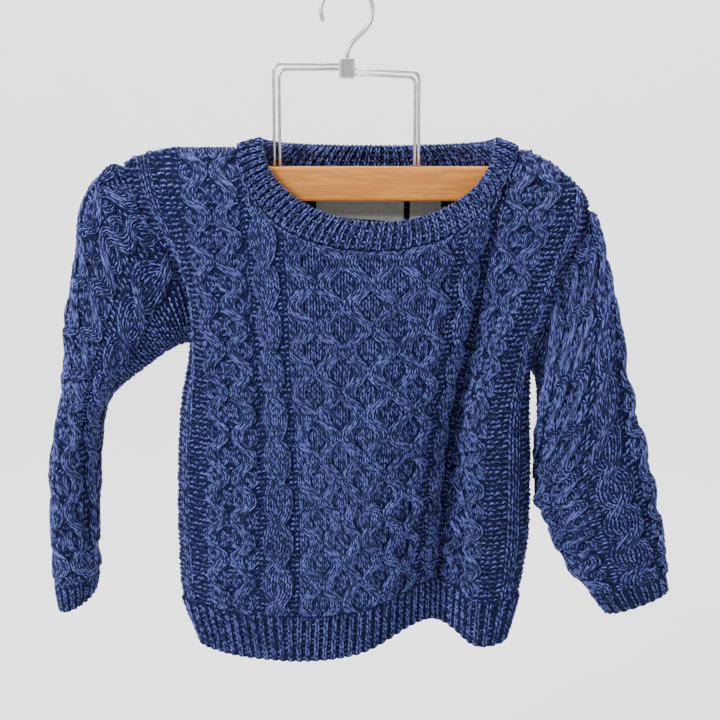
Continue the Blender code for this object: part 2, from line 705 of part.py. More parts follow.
def add_panel(side, material, collection):
    """One body panel: ribbed welt, then the cabled ground, over a plain inside."""
    wall = Wall()
    ribs = int(round(PANEL / HEM_RIB_PITCH))
    rib_columns = np.linspace(0, PANEL, 2 * ribs + 1)
    columns = body_columns()
    welt_shares, body_shares = body_row_shares()
    outer, outer_at = [], []
    rib = rib_relief(len(rib_columns))
    for points, normals in panel_rows(side, rib_columns, welt_shares):
        outer.append(wall.row(points + normals * rib[:, None]))
        outer_at.append(rib_columns / PANEL)
    for v, (points, normals) in zip(body_shares, panel_rows(side, columns, body_shares)):
        relief = RAISE * body_relief(columns, v * (top_z(side, columns) - HEM_Z))
        relief *= fade(np.minimum(columns, PANEL - columns), SIDE_FADE)
        relief *= fade((1 - v) * CENTRE_RISE, TOP_FADE)
        outer.append(wall.row(points + normals * relief[:, None]))
        outer_at.append(columns / PANEL)
    plain_columns = inner_columns()
    plain_shares = inner_row_shares()
    inner, inner_at = [], []
    for points, normals in panel_rows(side, plain_columns, plain_shares):
        inner.append(wall.row(points - normals * WALL))
        inner_at.append(plain_columns / PANEL)
    wall.ladder(outer, outer_at)
    wall.ladder(inner, inner_at)
    wall.edge(outer[0], inner[0], outer_at[0], inner_at[0])
    wall.edge(outer[-1], inner[-1], outer_at[-1], inner_at[-1])
    outer_rise = np.concatenate([welt_shares, body_shares])
    for end in (0, -1):
        wall.edge([row[end] for row in outer], [row[end] for row in inner], outer_rise, plain_shares)
    return wall.build("body_" + side, material, collection)


def closed(share):
    """A ring's shares with the first point again at 1."""
    return np.append(share, 1.0)


def closed_inner(share):
    """As closed, but a hair early on the back half, so that both pieces of a seam split alike."""
    return closed(share - np.where(share > 0.5, TIE, 0.0))


def add_sleeve(hand, material, collection):
    """A sleeve tube from the armhole seam to its ribbed cuff."""
    wall = Wall()
    seam_w = armhole_shares(body_row_shares()[1])
    inner_seam_w = armhole_shares(inner_row_shares())
    plain_w = even(SLEEVE_COLUMNS + 1)[:-1]
    rib_w = even(2 * int(round(SLEEVE_CUFF_GIRTH / CUFF_RIB_PITCH)) + 1)[:-1]
    inner_w = even(SLEEVE_COLUMNS // 2 + 1)[:-1]
    cuff = 1 - CUFF_HEIGHT / SLEEVE_LENGTH
    body_v = np.linspace(0.0, cuff - 0.02, SLEEVE_ROWS)[1:]
    cuff_v = np.array([cuff, 1.0])
    inner_v = np.concatenate([body_v[1::2], [1.0]])

    def seam_points(w, depth):
        direction, onward = armhole_directions(hand, w)
        points = armhole_ring(hand, w) + SEAM * onward - depth * direction
        points[:, 1] += np.where(w <= 0.5, -SEAM / 2, SEAM / 2)
        return points

    outer, outer_at = [wall.row(seam_points(seam_w, 0.0))], [closed(seam_w)]
    for v in body_v:
        points = sleeve_point(hand, plain_w, v)
        normals = sleeve_normals(hand, plain_w, v)
        c, t = sleeve_chart(hand, plain_w, np.full_like(plain_w, v))
        relief = RAISE * sleeve_relief(c, t) * fade(v * SLEEVE_LENGTH - SIDE_FADE, TOP_FADE)
        outer.append(wall.row(points + normals * relief[:, None]))
        outer_at.append(closed(plain_w))
    for v in cuff_v:
        points = sleeve_point(hand, rib_w, v)
        relief = rib_relief(len(rib_w))
        outer.append(wall.row(points + sleeve_normals(hand, rib_w, v) * relief[:, None]))
        outer_at.append(closed(rib_w))
    inner, inner_at = [wall.row(seam_points(inner_seam_w, WALL))], [closed(inner_seam_w)]
    for v in inner_v:
        points = sleeve_point(hand, inner_w, v)
        inner.append(wall.row(points - WALL * sleeve_normals(hand, inner_w, v)))
        inner_at.append(closed(inner_w))
    outer = [row + row[:1] for row in outer]
    inner = [row + row[:1] for row in inner]
    wall.ladder(outer, outer_at)
    wall.ladder(inner, inner_at)
    wall.edge(outer[0], inner[0], closed(seam_w), closed_inner(inner_seam_w))
    wall.edge(outer[-1], inner[-1], outer_at[-1], inner_at[-1])
    return wall.build("sleeve_" + hand, material, collection)


def add_neckband(material, collection):
    """Ribbed band round the neck, sewn to both panels at its outer edge."""
    wall = Wall()
    seam_share, seam_chart = neck_shares(body_columns())
    inner_seam_share, inner_seam_chart = neck_shares(inner_columns())
    rib_share = even(2 * BAND_RIBS + 1)[:-1]
    inner_share = even(BAND_RIBS + 1)[:-1]

    def seam_points(share, depth):
        direction, onward = neck_directions(share)
        points = neck_ring(share)[1] + SEAM * onward - depth * direction
        points[:, 1] += np.where(share <= 0.5, -SEAM / 2, SEAM / 2)
        return points

    outer, outer_at = [wall.row(seam_points(seam_share, 0.0))], [closed(seam_share)]
    for v, height in BAND_ROWS:
        full = np.full_like(rib_share, v)
        lift = height * rib_relief(len(rib_share))
        points = band_point(rib_share, full) + band_normals(rib_share, full) * lift[:, None]
        outer.append(wall.row(points))
        outer_at.append(closed(rib_share))
    inner, inner_at = [wall.row(seam_points(inner_seam_share, WALL))], [closed(inner_seam_share)]
    for v in (0.5, 1.0):
        full = np.full_like(inner_share, v)
        points = band_point(inner_share, full) - WALL * band_normals(inner_share, full)
        inner.append(wall.row(points))
        inner_at.append(closed(inner_share))
    outer = [row + row[:1] for row in outer]
    inner = [row + row[:1] for row in inner]
    wall.ladder(outer, outer_at)
    wall.ladder(inner, inner_at)
    wall.edge(outer[0], inner[0], closed(seam_chart), closed_inner(inner_seam_chart))
    wall.edge(outer[-1], inner[-1], outer_at[-1], inner_at[-1])
    return wall.build("neckband", material, collection)


def add_label(name, material, collection):
    """A cloth tab that hangs from the back neck seam, inside the back panel."""
    left, right, drop_left, drop_right = LABELS[name]
    points, faces = [], []
    across, down = 8, 3
    chart = np.linspace(NECK_LEFT, NECK_RIGHT, LABEL_SAMPLES)
    seam = panel_point("back", chart, np.full_like(chart, LABEL_TOP_Z))
    for i in range(across + 1):
        x = left + (right - left) * i / across
        bottom = drop_left + (drop_right - drop_left) * i / across
        y = float(np.interp(x, seam[:, 0], seam[:, 1])) - LABEL_INSET
        for j in range(down + 1):
            z = LABEL_TOP_Z + (bottom - LABEL_TOP_Z) * j / down
            points.append((x * MM, y * MM, z * MM))
    for i in range(across):
        for j in range(down):
            first = i * (down + 1) + j
            faces.append((first, first + 1, first + down + 2, first + down + 1))
    mesh = bpy.data.meshes.new(name)
    mesh.from_pydata(points, [], faces)
    mesh.materials.append(material)
    label = bpy.data.objects.new(name, mesh)
    collection.objects.link(label)
    solid = label.modifiers.new("cloth", "SOLIDIFY")
    solid.thickness = LABEL_THICKNESS * MM
    solid.offset = 0.0


def add_block(name, size, centre, edge, material, collection):
    """A box with rounded edges."""
    mesh = bpy.data.meshes.new(name)
    shape = bmesh.new()
    bmesh.ops.create_cube(shape, size=1.0)
    bmesh.ops.scale(shape, vec=[side * MM for side in size], verts=shape.verts)
    shape.to_mesh(mesh)
    shape.free()
    mesh.materials.append(material)
    block = bpy.data.objects.new(name, mesh)
    block.location = [place * MM for place in centre]
    collection.objects.link(block)
    bevel = block.modifiers.new("edges", "BEVEL")
    bevel.width = edge * MM
    bevel.segments = 2


def add_wire(name, route, radius, material, collection):
    """A round wire along a route of points."""
    curve = bpy.data.curves.new(name, "CURVE")
    curve.dimensions = "3D"
    curve.bevel_depth = radius * MM
    curve.bevel_resolution = 2
    curve.use_fill_caps = True
    spline = curve.splines.new("POLY")
    spline.points.add(len(route) - 1)
    for point, place in zip(spline.points, route):
        point.co = (place[0] * MM, place[1] * MM, place[2] * MM, 1.0)
    curve.materials.append(material)
    wire = bpy.data.objects.new(name, curve)
    collection.objects.link(wire)


def wire_route(leg_x, corner_z, collar_z):
    """Up from between the slats, round a bend, and in to the collar."""
    inward = -math.copysign(1.0, leg_x)
    route = [(leg_x, 0.0, LEG_BOTTOM_Z)]
    for step in range(BEND_STEPS + 1):
        turn = math.radians(90 * step / BEND_STEPS)
        x = leg_x + inward * WIRE_BEND * (1 - math.cos(turn))
        route.append((x, 0.0, corner_z - WIRE_BEND * (1 - math.sin(turn))))
    collar_x = -inward * (COLLAR_SIZE[0] / 2 + NODE_GAP)
    route.append((collar_x, 0.0, collar_z))
    return route


def hook_route():
    """From the tip over the seat and down an S-bend to the collar."""
    centre_z = HOOK_WIRE - HOOK_RADIUS
    route = []
    for turn in np.linspace(HOOK_TIP_TURN, HOOK_NECK_TURN, 17):
        angle = math.radians(turn)
        route.append((HOOK_RADIUS * math.cos(angle), 0.0, centre_z + HOOK_RADIUS * math.sin(angle)))
    start = np.array(route[-1])
    neck_turn = math.radians(HOOK_NECK_TURN)
    heading = np.array([math.sin(neck_turn), 0.0, -math.cos(neck_turn)])
    end = np.array([0.0, 0.0, COLLAR_Z + COLLAR_SIZE[2] / 2 + NODE_GAP])
    for u in np.linspace(0, 1, 7)[1:]:
        pull = start + heading * HOOK_PULL
        rise = end + np.array([0.0, 0.0, HOOK_RISE])
        point = ((1 - u) ** 3 * start + 3 * u * (1 - u) ** 2 * pull
                 + 3 * u * u * (1 - u) * rise + u ** 3 * end)
        route.append(tuple(float(c) for c in point))
    return route


def add_hanger(wood, steel, collection):
    slat_y = (SLAT_SPACE + SLAT_THICKNESS) / 2
    bar_z = BAR_TOP_Z - BAR_HEIGHT / 2
    size = (BAR_LENGTH, SLAT_THICKNESS, BAR_HEIGHT)
    add_block("slat_front", size, (0.0, -slat_y, bar_z), SLAT_EDGE, wood, collection)
    add_block("slat_back", size, (0.0, slat_y, bar_z), SLAT_EDGE, wood, collection)
    add_block("hook_collar", COLLAR_SIZE, (0.0, 0.0, COLLAR_Z), COLLAR_EDGE, steel, collection)
    for name, place in WIRES.items():
        add_wire(name, wire_route(*place), WIRE_RADIUS, steel, collection)
    add_wire("hook", hook_route(), HOOK_WIRE, steel, collection)


def make_material(name, colour, roughness, metallic=0.0):
    material = bpy.data.materials.new(name)
    material.use_nodes = True
    shader = material.node_tree.nodes["Principled BSDF"]
    shader.inputs["Base Color"].default_value = (*colour, 1.0)
    shader.inputs["Roughness"].default_value = roughness
    shader.inputs["Metallic"].default_value = metallic
    return material


def clear_scene():
    for obj in list(bpy.data.objects):
        bpy.data.objects.remove(obj)


def main():
    clear_scene()
    collection = bpy.data.collections.new("aran_sweater_on_hanger")
    bpy.context.scene.collection.children.link(collection)
    wool = make_material("wool_navy_marl", NAVY, 0.9)
    add_panel("front", wool, collection)
    add_panel("back", wool, collection)
    add_sleeve("left", wool, collection)
    add_sleeve("right", wool, collection)
    add_neckband(wool, collection)
    tape = make_material("label_cloth", LABEL_WHITE, 0.85)
    for name in LABELS:
        add_label(name, tape, collection)
    wood = make_material("beech_wood", WOOD, 0.45)
    steel = make_material("wire_steel", STEEL, 0.3, metallic=1.0)
    add_hanger(wood, steel, collection)


main()
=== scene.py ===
"""Looks of a child's aran sweater on a wooden clamp hanger.

The cloth is rebuilt as thin knitted shells on the solids' own form, and every visible stitch is a
pair of yarn legs laid on its cable, rib or ground. Sizes are in millimetres until a mesh is made.
"""

import math
from dataclasses import dataclass

import bmesh
import bpy
import numpy as np
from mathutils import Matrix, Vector


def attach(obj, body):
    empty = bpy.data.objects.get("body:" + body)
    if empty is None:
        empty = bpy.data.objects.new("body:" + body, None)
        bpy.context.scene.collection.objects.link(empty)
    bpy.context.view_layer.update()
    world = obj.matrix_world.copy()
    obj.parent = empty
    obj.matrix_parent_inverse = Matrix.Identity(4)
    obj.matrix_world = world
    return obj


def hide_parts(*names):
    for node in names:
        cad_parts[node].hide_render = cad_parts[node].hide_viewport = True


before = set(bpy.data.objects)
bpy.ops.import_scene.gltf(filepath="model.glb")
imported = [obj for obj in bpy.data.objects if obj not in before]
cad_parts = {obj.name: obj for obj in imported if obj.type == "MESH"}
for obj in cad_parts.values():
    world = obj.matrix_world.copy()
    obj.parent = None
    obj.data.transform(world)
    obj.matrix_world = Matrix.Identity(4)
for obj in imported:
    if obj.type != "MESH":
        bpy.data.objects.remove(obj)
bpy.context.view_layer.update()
MM = 0.001

SEAM = 0.3  # gap between two sewn pieces
RAISE = 3.6  # how far a cable stands out of its ground
RIB_RAISE = 2.2
HEM_Z = -556.0
RIB_HEIGHT = 42.0  # welt at the hem
CUFF_HEIGHT = 30.0
BAND_RIBS = 88
ARMPIT_ROW = 0.64  # share of the way up a side edge where the armhole begins

# Stitch chart of a body panel, in millimetres across the flat cloth from one side seam.
SIDE_BAND = 40.0
WIDE_CABLE = 52.0
ROPE_BLOCK = 39.0  # a 28 mm rope with a 5 mm and a 6 mm gutter
HONEY_CELL = 21.0  # half of one honeycomb cell
HONEY_HALVES = 6
ROPE_GUTTER = 5.0
ROPE = 28.0
PANEL = 2 * (SIDE_BAND + WIDE_CABLE + ROPE_BLOCK) + HONEY_HALVES * HONEY_CELL
NECK_LEFT = SIDE_BAND + WIDE_CABLE
NECK_RIGHT = PANEL - NECK_LEFT
HONEY_LEFT = NECK_LEFT + ROPE_BLOCK
HONEY_RIGHT = PANEL - HONEY_LEFT
CENTRE_RISE = 344.0  # flat height of the middle column, hem to neck
ROWS_ABOVE_ARMPIT = 14
ROW_STEP = (1 - ARMPIT_ROW) / ROWS_ABOVE_ARMPIT
ROWS_PER_PERIOD = 4
HONEY_PERIOD = ROWS_PER_PERIOD * ROW_STEP * CENTRE_RISE
ROPE_CROSSING = HONEY_PERIOD
WIDE_CROSSING = HONEY_PERIOD / 2
ROPE_STRAND = 7.5  # half widths of the strands
HONEY_STRAND = 6.5
HONEY_LEAN = 5.0
SIDE_RIB = 4.5

# Where the chart's main columns hang. One row for each level, from hem to shoulder.
PANEL_COLUMNS = (0.0, SIDE_BAND, NECK_LEFT, HONEY_LEFT, PANEL / 2, HONEY_RIGHT, NECK_RIGHT,
                 PANEL - SIDE_BAND, PANEL)
LEVELS = (-556, -500, -450, -400, -350, -300, -260, -220, -190, -160, -130)
#        left  cable  cable  honey  mid  honey cable  cable  right
#        seam  outer  inner  left         right inner  outer  seam
FRONT_X = (
    (-128, -109, -70, -40, 8, 55, 80, 110, 137),
    (-145, -117, -74, -39, 10, 57, 81, 112, 151),
    (-146, -118, -74, -39, 12, 60, 83, 114, 157),
    (-145, -117, -73, -40, 13, 64, 87, 116, 157),
    (-142, -117, -73, -42, 14, 69, 93, 118, 155),
    (-134, -118, -75, -45, 17, 77, 103, 128, 155),
    (-132, -122, -78, -47, 19, 83, 111, 140, 169),
    (-144, -127, -82, -50, 20, 87, 116, 156, 183),
    (-163, -131, -86, -52, 22, 93, 123, 168, 198),
    (-179, -136, -89, -52, 24, 96, 131, 176, 204),
    (-190, -142, -92, -52, 26, 96, 143, 178, 204),
)
# Forward of the seam plane. The trough at the right inner column is the garment's deepest fold.
FRONT_FORWARD = (
    (0, 32, 50, 55, 47, 16, 2, 30, 0),
    (0, 36, 57, 62, 56, 22, 3, 33, 0),
    (0, 38, 59, 63, 59, 28, 5, 34, 0),
    (0, 38, 58, 62, 60, 32, 8, 36, 0),
    (0, 38, 56, 60, 58, 34, 12, 38, 0),
    (0, 37, 52, 56, 55, 37, 17, 38, 0),
    (0, 34, 45, 50, 50, 38, 20, 36, 0),
    (0, 31, 38, 44, 45, 38, 23, 33, 0),
    (0, 28, 33, 38, 40, 37, 27, 30, 0),
    (0, 24, 28, 33, 34, 33, 27, 24, 0),
    (0, 22, 26, 30, 31, 30, 25, 22, 0),
)
# The back panel: share of the width, then how far it stands behind the seam plane.
BACK_SHARE = (0.0, 0.085, 0.235, 0.33, 0.5, 0.67, 0.765, 0.915, 1.0)
BACK_MEETS_FRONT = (-300.0, -190.0)  # between these heights its columns move to the front's places
BACK_BEHIND = (
    (0, 30, 46, 50, 54, 44, 40, 30, 0),
    (0, 34, 50, 54, 60, 50, 44, 36, 0),
    (0, 36, 50, 52, 62, 56, 50, 38, 0),
    (0, 37, 50, 51, 61, 58, 53, 38, 0),
    (0, 37, 50, 52, 60, 58, 52, 37, 0),
    (0, 35, 48, 52, 56, 54, 49, 36, 0),
    (0, 33, 44, 48, 50, 48, 44, 34, 0),
    (0, 30, 38, 42, 44, 42, 38, 30, 0),
    (0, 27, 33, 36, 38, 36, 33, 27, 0),
    (0, 24, 29, 31, 32, 31, 29, 24, 0),
    (0, 22, 26, 28, 29, 28, 26, 22, 0),
)
# Height of the shoulder line along the chart: across, then z.
SHOULDER_LINE = (
    (0, -145), (20, -135), (40, -129), (NECK_LEFT, -129), (NECK_RIGHT, -131),
    (322, -137), (348, -148), (368, -163), (PANEL, -181),
)
SHOULDER_ROUND = 30.0
SHOULDER_POWER = 0.7
EDGE_TURN = 1.7  # how much steeper a panel rounds at its side seams
BELOW_EDGE = 0.98  # row where a wall's direction is read, just short of a corner
FRONT_NECK_DROP = 82.0
BACK_NECK_DROP = 24.0
HEM_LIFT = {"front": 20.0, "back": 11.0}  # the hem rises at the deep fold
HEM_LIFT_AT = 272.0
HEM_LIFT_WIDTH = 58.0
HEM_LIFT_FADE = 220.0
ARMHOLE_DEPTH = {"left": 15.0, "right": 20.0}
ARMHOLE_POWER = 0.8

# Sleeve rings below the armhole: underarm x, z; top line x, z; half depth; turn of the chart.
SLEEVE_RINGS = {
    "left": (
        (-143, -294, -207, -158, 26, 0.0),
        (-157, -302, -220, -187, 34, 0.0),
        (-174, -315, -225, -221, 40, 0.0),
        (-190, -327, -230, -257, 44, 0.0),
        (-202, -338, -233, -289, 47, 0.0),
        (-210, -349, -237, -321, 48, 0.0),
        (-215, -365, -242, -354, 48, 0.0),
        (-218, -394, -250, -393, 46, 0.0),
        (-220, -433, -252, -432, 43, 0.0),
        (-221, -472, -252, -472, 39, 0.0),
        (-221, -498, -252, -500, 34, 0.0),
        (-224, -514, -249, -526, 30, 0.0),
    ),
    "right": (
        (161, -324, 210, -203, 20, 0.04),
        (163, -346, 216, -228, 24, 0.09),
        (164, -368, 223, -259, 26, 0.13),
        (164, -390, 231, -294, 27, 0.16),
        (164, -411, 239, -329, 27, 0.18),
        (165, -432, 247, -360, 26, 0.2),
        (172, -442, 256, -396, 26, 0.2),
        (178, -456, 263, -426, 25, 0.2),
        (184, -471, 269, -455, 23, 0.2),
        (196, -492, 273, -480, 20, 0.2),
        (213, -513, 275, -497, 17, 0.2),
        (228, -532, 278, -513, 14, 0.2),
    ),
}
SLEEVE_LENGTH = 345.0
SLEEVE_TOP_GIRTH = 330.0
SLEEVE_CUFF_GIRTH = 140.0
SLEEVE_WIDE_AT = 44.0
SLEEVE_OVAL_POWER = 0.85
SLEEVE_TAPER_POWER = 0.8
SLEEVE_OUTER_ROPE = 18.0  # from the wide cable's edge to the middle of the rope beside it

# Neckband: the free edge is a ring 24 mm inside the neck seam.
BAND_CENTRE_X = 26.0
BAND_HALF_WIDTH = 96.0
BAND_TOP_Z = -123.0
BAND_FRONT_DROP = 66.0
BAND_BACK_DROP = 6.0
BAND_FRONT_DEPTH = 30.0
BAND_BACK_DEPTH = 27.0
BAND_ROLL = 2.5
BAND_OVAL_POWER = 0.55

# Points inside the body, below the neckband and in the neck, that tell outward from inward.
BODY_MIDDLE = np.array([10.0, 0.0, -350.0])
BAND_HUB = np.array([BAND_CENTRE_X, 0.0, -260.0])
NECK_HUB = np.array([BAND_CENTRE_X, 0.0, -130.0])

# Hanger.
WIRE_RADIUS = 1.4
WIRE_BEND = 6.0
LEG_BOTTOM_Z = -170.0
# Each bent wire: place of its leg, height of its corner, height where it meets the collar.
WIRES = {
    "wire_outer_left": (-60.4, -61.5, -61.8),
    "wire_inner_left": (-55.8, -65.8, -65.6),
    "wire_outer_right": (59.2, -68.0, -65.6),
    "wire_inner_right": (56.0, -72.0, -69.6),
}
COLLAR_SIZE = (13.0, 9.0, 16.0)
COLLAR_Z = -65.5
HOOK_WIRE = 1.9
HOOK_RADIUS = 21.0
HOOK_TIP_TURN = 205.0
HOOK_NECK_TURN = -35.0
NODE_GAP = 0.3

# Labels sewn in at the back neck seam: left and right edge, drop at each of them.
LABEL_TOP_Z = -157.0
LABEL_INSET = 5.6  # from the panel's outer face, past its wall, to the middle of the tape
LABEL_THICKNESS = 0.7
LABEL_SAMPLES = 60
LABELS = {
    "label_neck": (-27.0, 48.0, -188.0, -193.5),
    "label_size": (53.0, 80.0, -193.5, -193.0),
}

# Stitches.
ROW = HONEY_PERIOD / 8  # eight rows to a cable repeat
WALE = 4.5
LEG_RADIUS = 0.9
LEG_REACH = 1.55  # rows that a leg spans
LEG_OPEN = 1.75  # half the width between the tops of a stitch's two legs
LEG_SHUT = 0.45
SHELL_SHARE = 1.2  # height of the shell under the stitches, as a share of the cable's
SHELL_THICK = 1.6
RIB_HALF = 0.36  # half a knit rib, as a share of the pitch
RIB_SPREAD = 1.15
PANEL_RIBS = 43
CUFF_RIBS = 19
BAND_LENGTH = 684.0
BAND_WIDTH = 24.0
EDGE_RADIUS = 1.2
SEAM_FADE = 5.0
WELT_FADE = 5.0
SEAM_ROOM = 0.4
PURL_LIFT = 0.3  # how far stitches stand off the shell: purl, knit ground and rib gutters
GROUND_LIFT = 0.15
GUTTER_LIFT = 0.1
GUTTER_SHARE = 0.6  # width of a gutter's purl bump, as a share of the pitch
PURL_RADIUS = 1.2
PURL_STRAY = 2.5  # how unevenly purl bumps lie, against knit legs
STRAY = (0.13, 0.16, 0.12)  # how unevenly a leg lies: across, along and out
THICK_STRAY = 0.07
SIDE_SINK = 0.45  # how far a leg's sides and ends lie below its middle, in radii
END_SINK = 0.7
COVER_ROOM = 0.75  # a leg this far under the relief is hidden by another strand
CROWN = 0.93  # part of a strand's width that its wales lie on
# Four places of a stitch from foot to head, in wales across and rows or millimetres up.
PURL_REACH = np.array([[-0.66, -0.25, 0.25, 0.66]])
PURL_RISE = np.array([[-0.34, 0.2, 0.2, -0.34]])
EDGE_REACH = np.array([[-0.2, 0.35, 0.75, 1.15]])
EDGE_RISE = np.array([[-0.5, 0.0, 0.3, 0.6]])
CHAIN_REACH = np.array([[-0.2, 0.3, 0.7, 1.1]])
CHAIN_RISE = np.array([[-0.8, 0.2, 0.2, 0.8]])
CHAIN_PACE = 0.8  # wales from one link of a seam's chain to the next
CHAIN_INSET = 1.4
CHAIN_LIFT = 0.4
TWIST = 0.16
WIDE_HALF = 6.8
WIDE_UNDER = 0.42
ROUNDING = 0.07  # makes the rings rounder than a plain wave
WANDER = 0.9  # how far the wales stray
WANDER_ACROSS = 29.0
WANDER_ALONG = 37.0
GROUND_UNDER = 0.35  # share of the full relief below which ground stitches show
REVERSE_DEPTH = 110.0
PANEL_GRID = (173, 143)  # columns and rows
SLEEVE_GRID = (120, 96)
BAND_GRID = (528, 9)
LABEL_ROWS = 22
LABEL_CURL = 1.2
LABEL_HEM = 3.0
HEM_STEP = 0.6
HEM_RAISE = 0.22
SELVEDGE_RAISE = 0.15
SELVEDGE_AT = 0.8
SELVEDGE_WIDTH = 0.5
LABEL_PITCH = 1.5  # between the columns of its grid
THREAD_START = 1.5
THREAD_STOP = 2.5
THREAD_PACE = 2.2
THREAD_REACH = np.array([[0, 0.5, 1.1, 1.6]])
THREAD_INSET = 1.4
THREAD_LIFT = 0.28
THREAD_RADIUS = 0.16
BEND_STEPS = 10
HOOK_PULL = 12.0
HOOK_RISE = 14.0
WIRE_SIDES = 20
CAP_TILTS = (80, 55, 25)  # rings of a wire's domed end, in degrees
HOOK_STEPS = 49
NECK_STEPS = 19

# Soft folds. For each: place across and up the chart, half length, half width, lean in degrees, height.
FOLD_BOW = 0.5
FOLD_FADE = 12.0
FOLDS = {
    "body_front": (
        (60, 250, 70, 9, 14, -3.5),
        (84, 180, 90, 10, -6, 2.5),
        (338, 230, 75, 11, -12, -4.0),
        (318, 205, 80, 9, -8, 3.0),
        (200, 130, 60, 16, 60, -2.0),
        (150, 75, 55, 12, 70, 2.0),
        (352, 110, 60, 10, 10, 2.5),
        (9, 300, 75, 10, -4, -5.0),
        (302, 190, 190, 20, -3, -7.0),
        (343, 235, 110, 16, -3, 4.5),
    ),
    "body_back": (
        (80, 240, 80, 12, -10, -3.5),
        (130, 170, 90, 14, 8, 3.0),
        (250, 190, 95, 14, -6, -4.0),
        (310, 240, 70, 12, 14, 3.0),
        (200, 90, 70, 16, 65, -2.0),
    ),
    "sleeve_left": (
        (0, 336, 12, 26, 0, 3.5),
        (-72, 300, 26, 14, 10, 4.0),
        (-40, 250, 40, 9, 62, -4.0),
        (-30, 215, 45, 9, 70, 3.0),
        (-25, 165, 40, 8, 80, -3.5),
        (40, 180, 45, 9, -70, -3.0),
        (50, 240, 40, 10, -60, 2.5),
        (-35, 95, 35, 8, 75, -2.0),
    ),
    "sleeve_right": (
        (0, 336, 12, 26, 0, 2.5),
        (-45, 260, 45, 9, 35, -3.5),
        (-20, 225, 50, 9, 40, 3.0),
        (10, 170, 45, 9, 65, -3.0),
        (50, 200, 45, 10, -60, -3.0),
        (0, 100, 38, 8, 75, -2.0),
    ),
}

# Colours.
PLY_DARK = (0.007, 0.011, 0.054)
PLY_LIGHT = (0.095, 0.113, 0.350)
# Shell colours are painted shade: far darker than the yarn, so the cloth between and under the stitches
# reads as shade.
GROUND_SHADE_DARK = (0.003, 0.005, 0.019)
GROUND_SHADE_PALE = (0.010, 0.013, 0.056)
WOOD_LIGHT = (0.58, 0.215, 0.020)
WOOD_DARK = (0.45, 0.150, 0.014)
WOOD_FLECK = (0.33, 0.13, 0.035)
WOOL_SHEEN = (0.55, 0.65, 1.0)
TAPE_DARK = (0.50, 0.52, 0.46)
TAPE_LIGHT = (0.62, 0.63, 0.58)
TAPE_GAP = (0.33, 0.36, 0.33)
WARP_PITCH = 0.45
WEFT_PITCH = 0.6
THREAD_DARK = (0.40, 0.42, 0.40)
THREAD_LIGHT = (0.60, 0.61, 0.58)
STEEL_LIGHT = (0.62, 0.61, 0.59)
STEEL_DARK = (0.45, 0.44, 0.43)
PAPER_DARK = (0.88, 0.88, 0.88)
PAPER_LIGHT = (0.91, 0.91, 0.91)

# Studio, in metres but for the camera.
FLOOR_Z = -0.95
SWEEP_ROUND = 0.7
SWEEP_STEPS = 12
STAGE_SIDES = 72
WALL_AT = 3.4
WALL_TOP = 2.8
SKY = (0.9, 0.92, 1.0)
SKY_STRENGTH = 0.16
MIDDLE = (0.01, 0.0, -0.33)
# Name, place, what it points at, width and height, watts, colour.
LIGHTS = (
    ("key", (-1.15, -1.35, 0.6), MIDDLE, (0.45, 0.45), 45, (0.97, 0.98, 1.0)),
    ("fill", (1.9, -0.75, 0.2), MIDDLE, (1.0, 1.2), 8, (0.86, 0.92, 1.0)),
    ("top", (0.1, -0.5, 1.3), MIDDLE, (0.8, 0.6), 9, (1.0, 1.0, 1.0)),
    ("backdrop", (0.0, 0.6, 2.2), (0.0, 3.0, -0.6), (3.0, 1.0), 210, (1.0, 1.0, 1.0)),
)
CAMERA_AT = (10.6, -1200.0, -90.0)
CAMERA_AIM = (10.6, 0.0, -308.2)
CAMERA_LENS = 71.7


def slopes(knots, values):
    """Slopes of a curve through a table that never overshoots the table."""
    rise = np.diff(values, axis=-1) / np.diff(knots)
    before, after = rise[..., :-1], rise[..., 1:]
    total = before + after
    total = np.where(np.abs(total) < 1e-9, 1.0, total)
    inner = np.where(before * after > 0, 2 * before * after / total, 0.0)
    return np.concatenate([rise[..., :1], inner, rise[..., -1:]], axis=-1)


def smooth(knots, values, at, end_turn=None):
    """Cubic through values (…, k) at `at` (…); end_turn scales the slope at both ends."""
    knots = np.asarray(knots, float)
    values = np.asarray(values, float)
    at = np.clip(at, knots[0], knots[-1])
    values = np.broadcast_to(values, at.shape + values.shape[-1:])
    slope = slopes(knots, values)
    if end_turn is not None:
        slope[..., 0] *= end_turn
        slope[..., -1] *= end_turn
    left = np.clip(np.searchsorted(knots, at, side="right") - 1, 0, len(knots) - 2)
    pick = left[..., None]

    def chosen(table, offset):
        return np.take_along_axis(table, pick + offset, axis=-1)[..., 0]

    step = knots[left + 1] - knots[left]
    u = (at - knots[left]) / step
    return (chosen(values, 0) * (1 + 2 * u) * (1 - u) ** 2
            + chosen(values, 1) * u * u * (3 - 2 * u)
            + chosen(slope, 0) * step * u * (1 - u) ** 2
            + chosen(slope, 1) * step * u * u * (u - 1))


def at_level(table, z):
    """Every column of a level table at each z: shape (…, columns)."""
    by_column = np.asarray(table, float).T
    return smooth(LEVELS, by_column, np.repeat(np.asarray(z)[..., None], len(by_column), -1))


def shoulder_z(s):
    across, height = zip(*SHOULDER_LINE)
    return smooth(across, height, s)


def neck_z(s, drop):
    """Neck edge, a half ellipse hung between the two shoulder points."""
    middle = (NECK_LEFT + NECK_RIGHT) / 2
    u = np.clip((s - middle) / ((NECK_RIGHT - NECK_LEFT) / 2), -1, 1)
    return shoulder_z(s) - drop * np.sqrt(1 - u * u)


def top_z(side, s):
    return neck_z(s, FRONT_NECK_DROP if side == "front" else BACK_NECK_DROP)


def hem_z(side, s):
    return HEM_Z + HEM_LIFT[side] * np.exp(-(((s - HEM_LIFT_AT) / HEM_LIFT_WIDTH) ** 2))


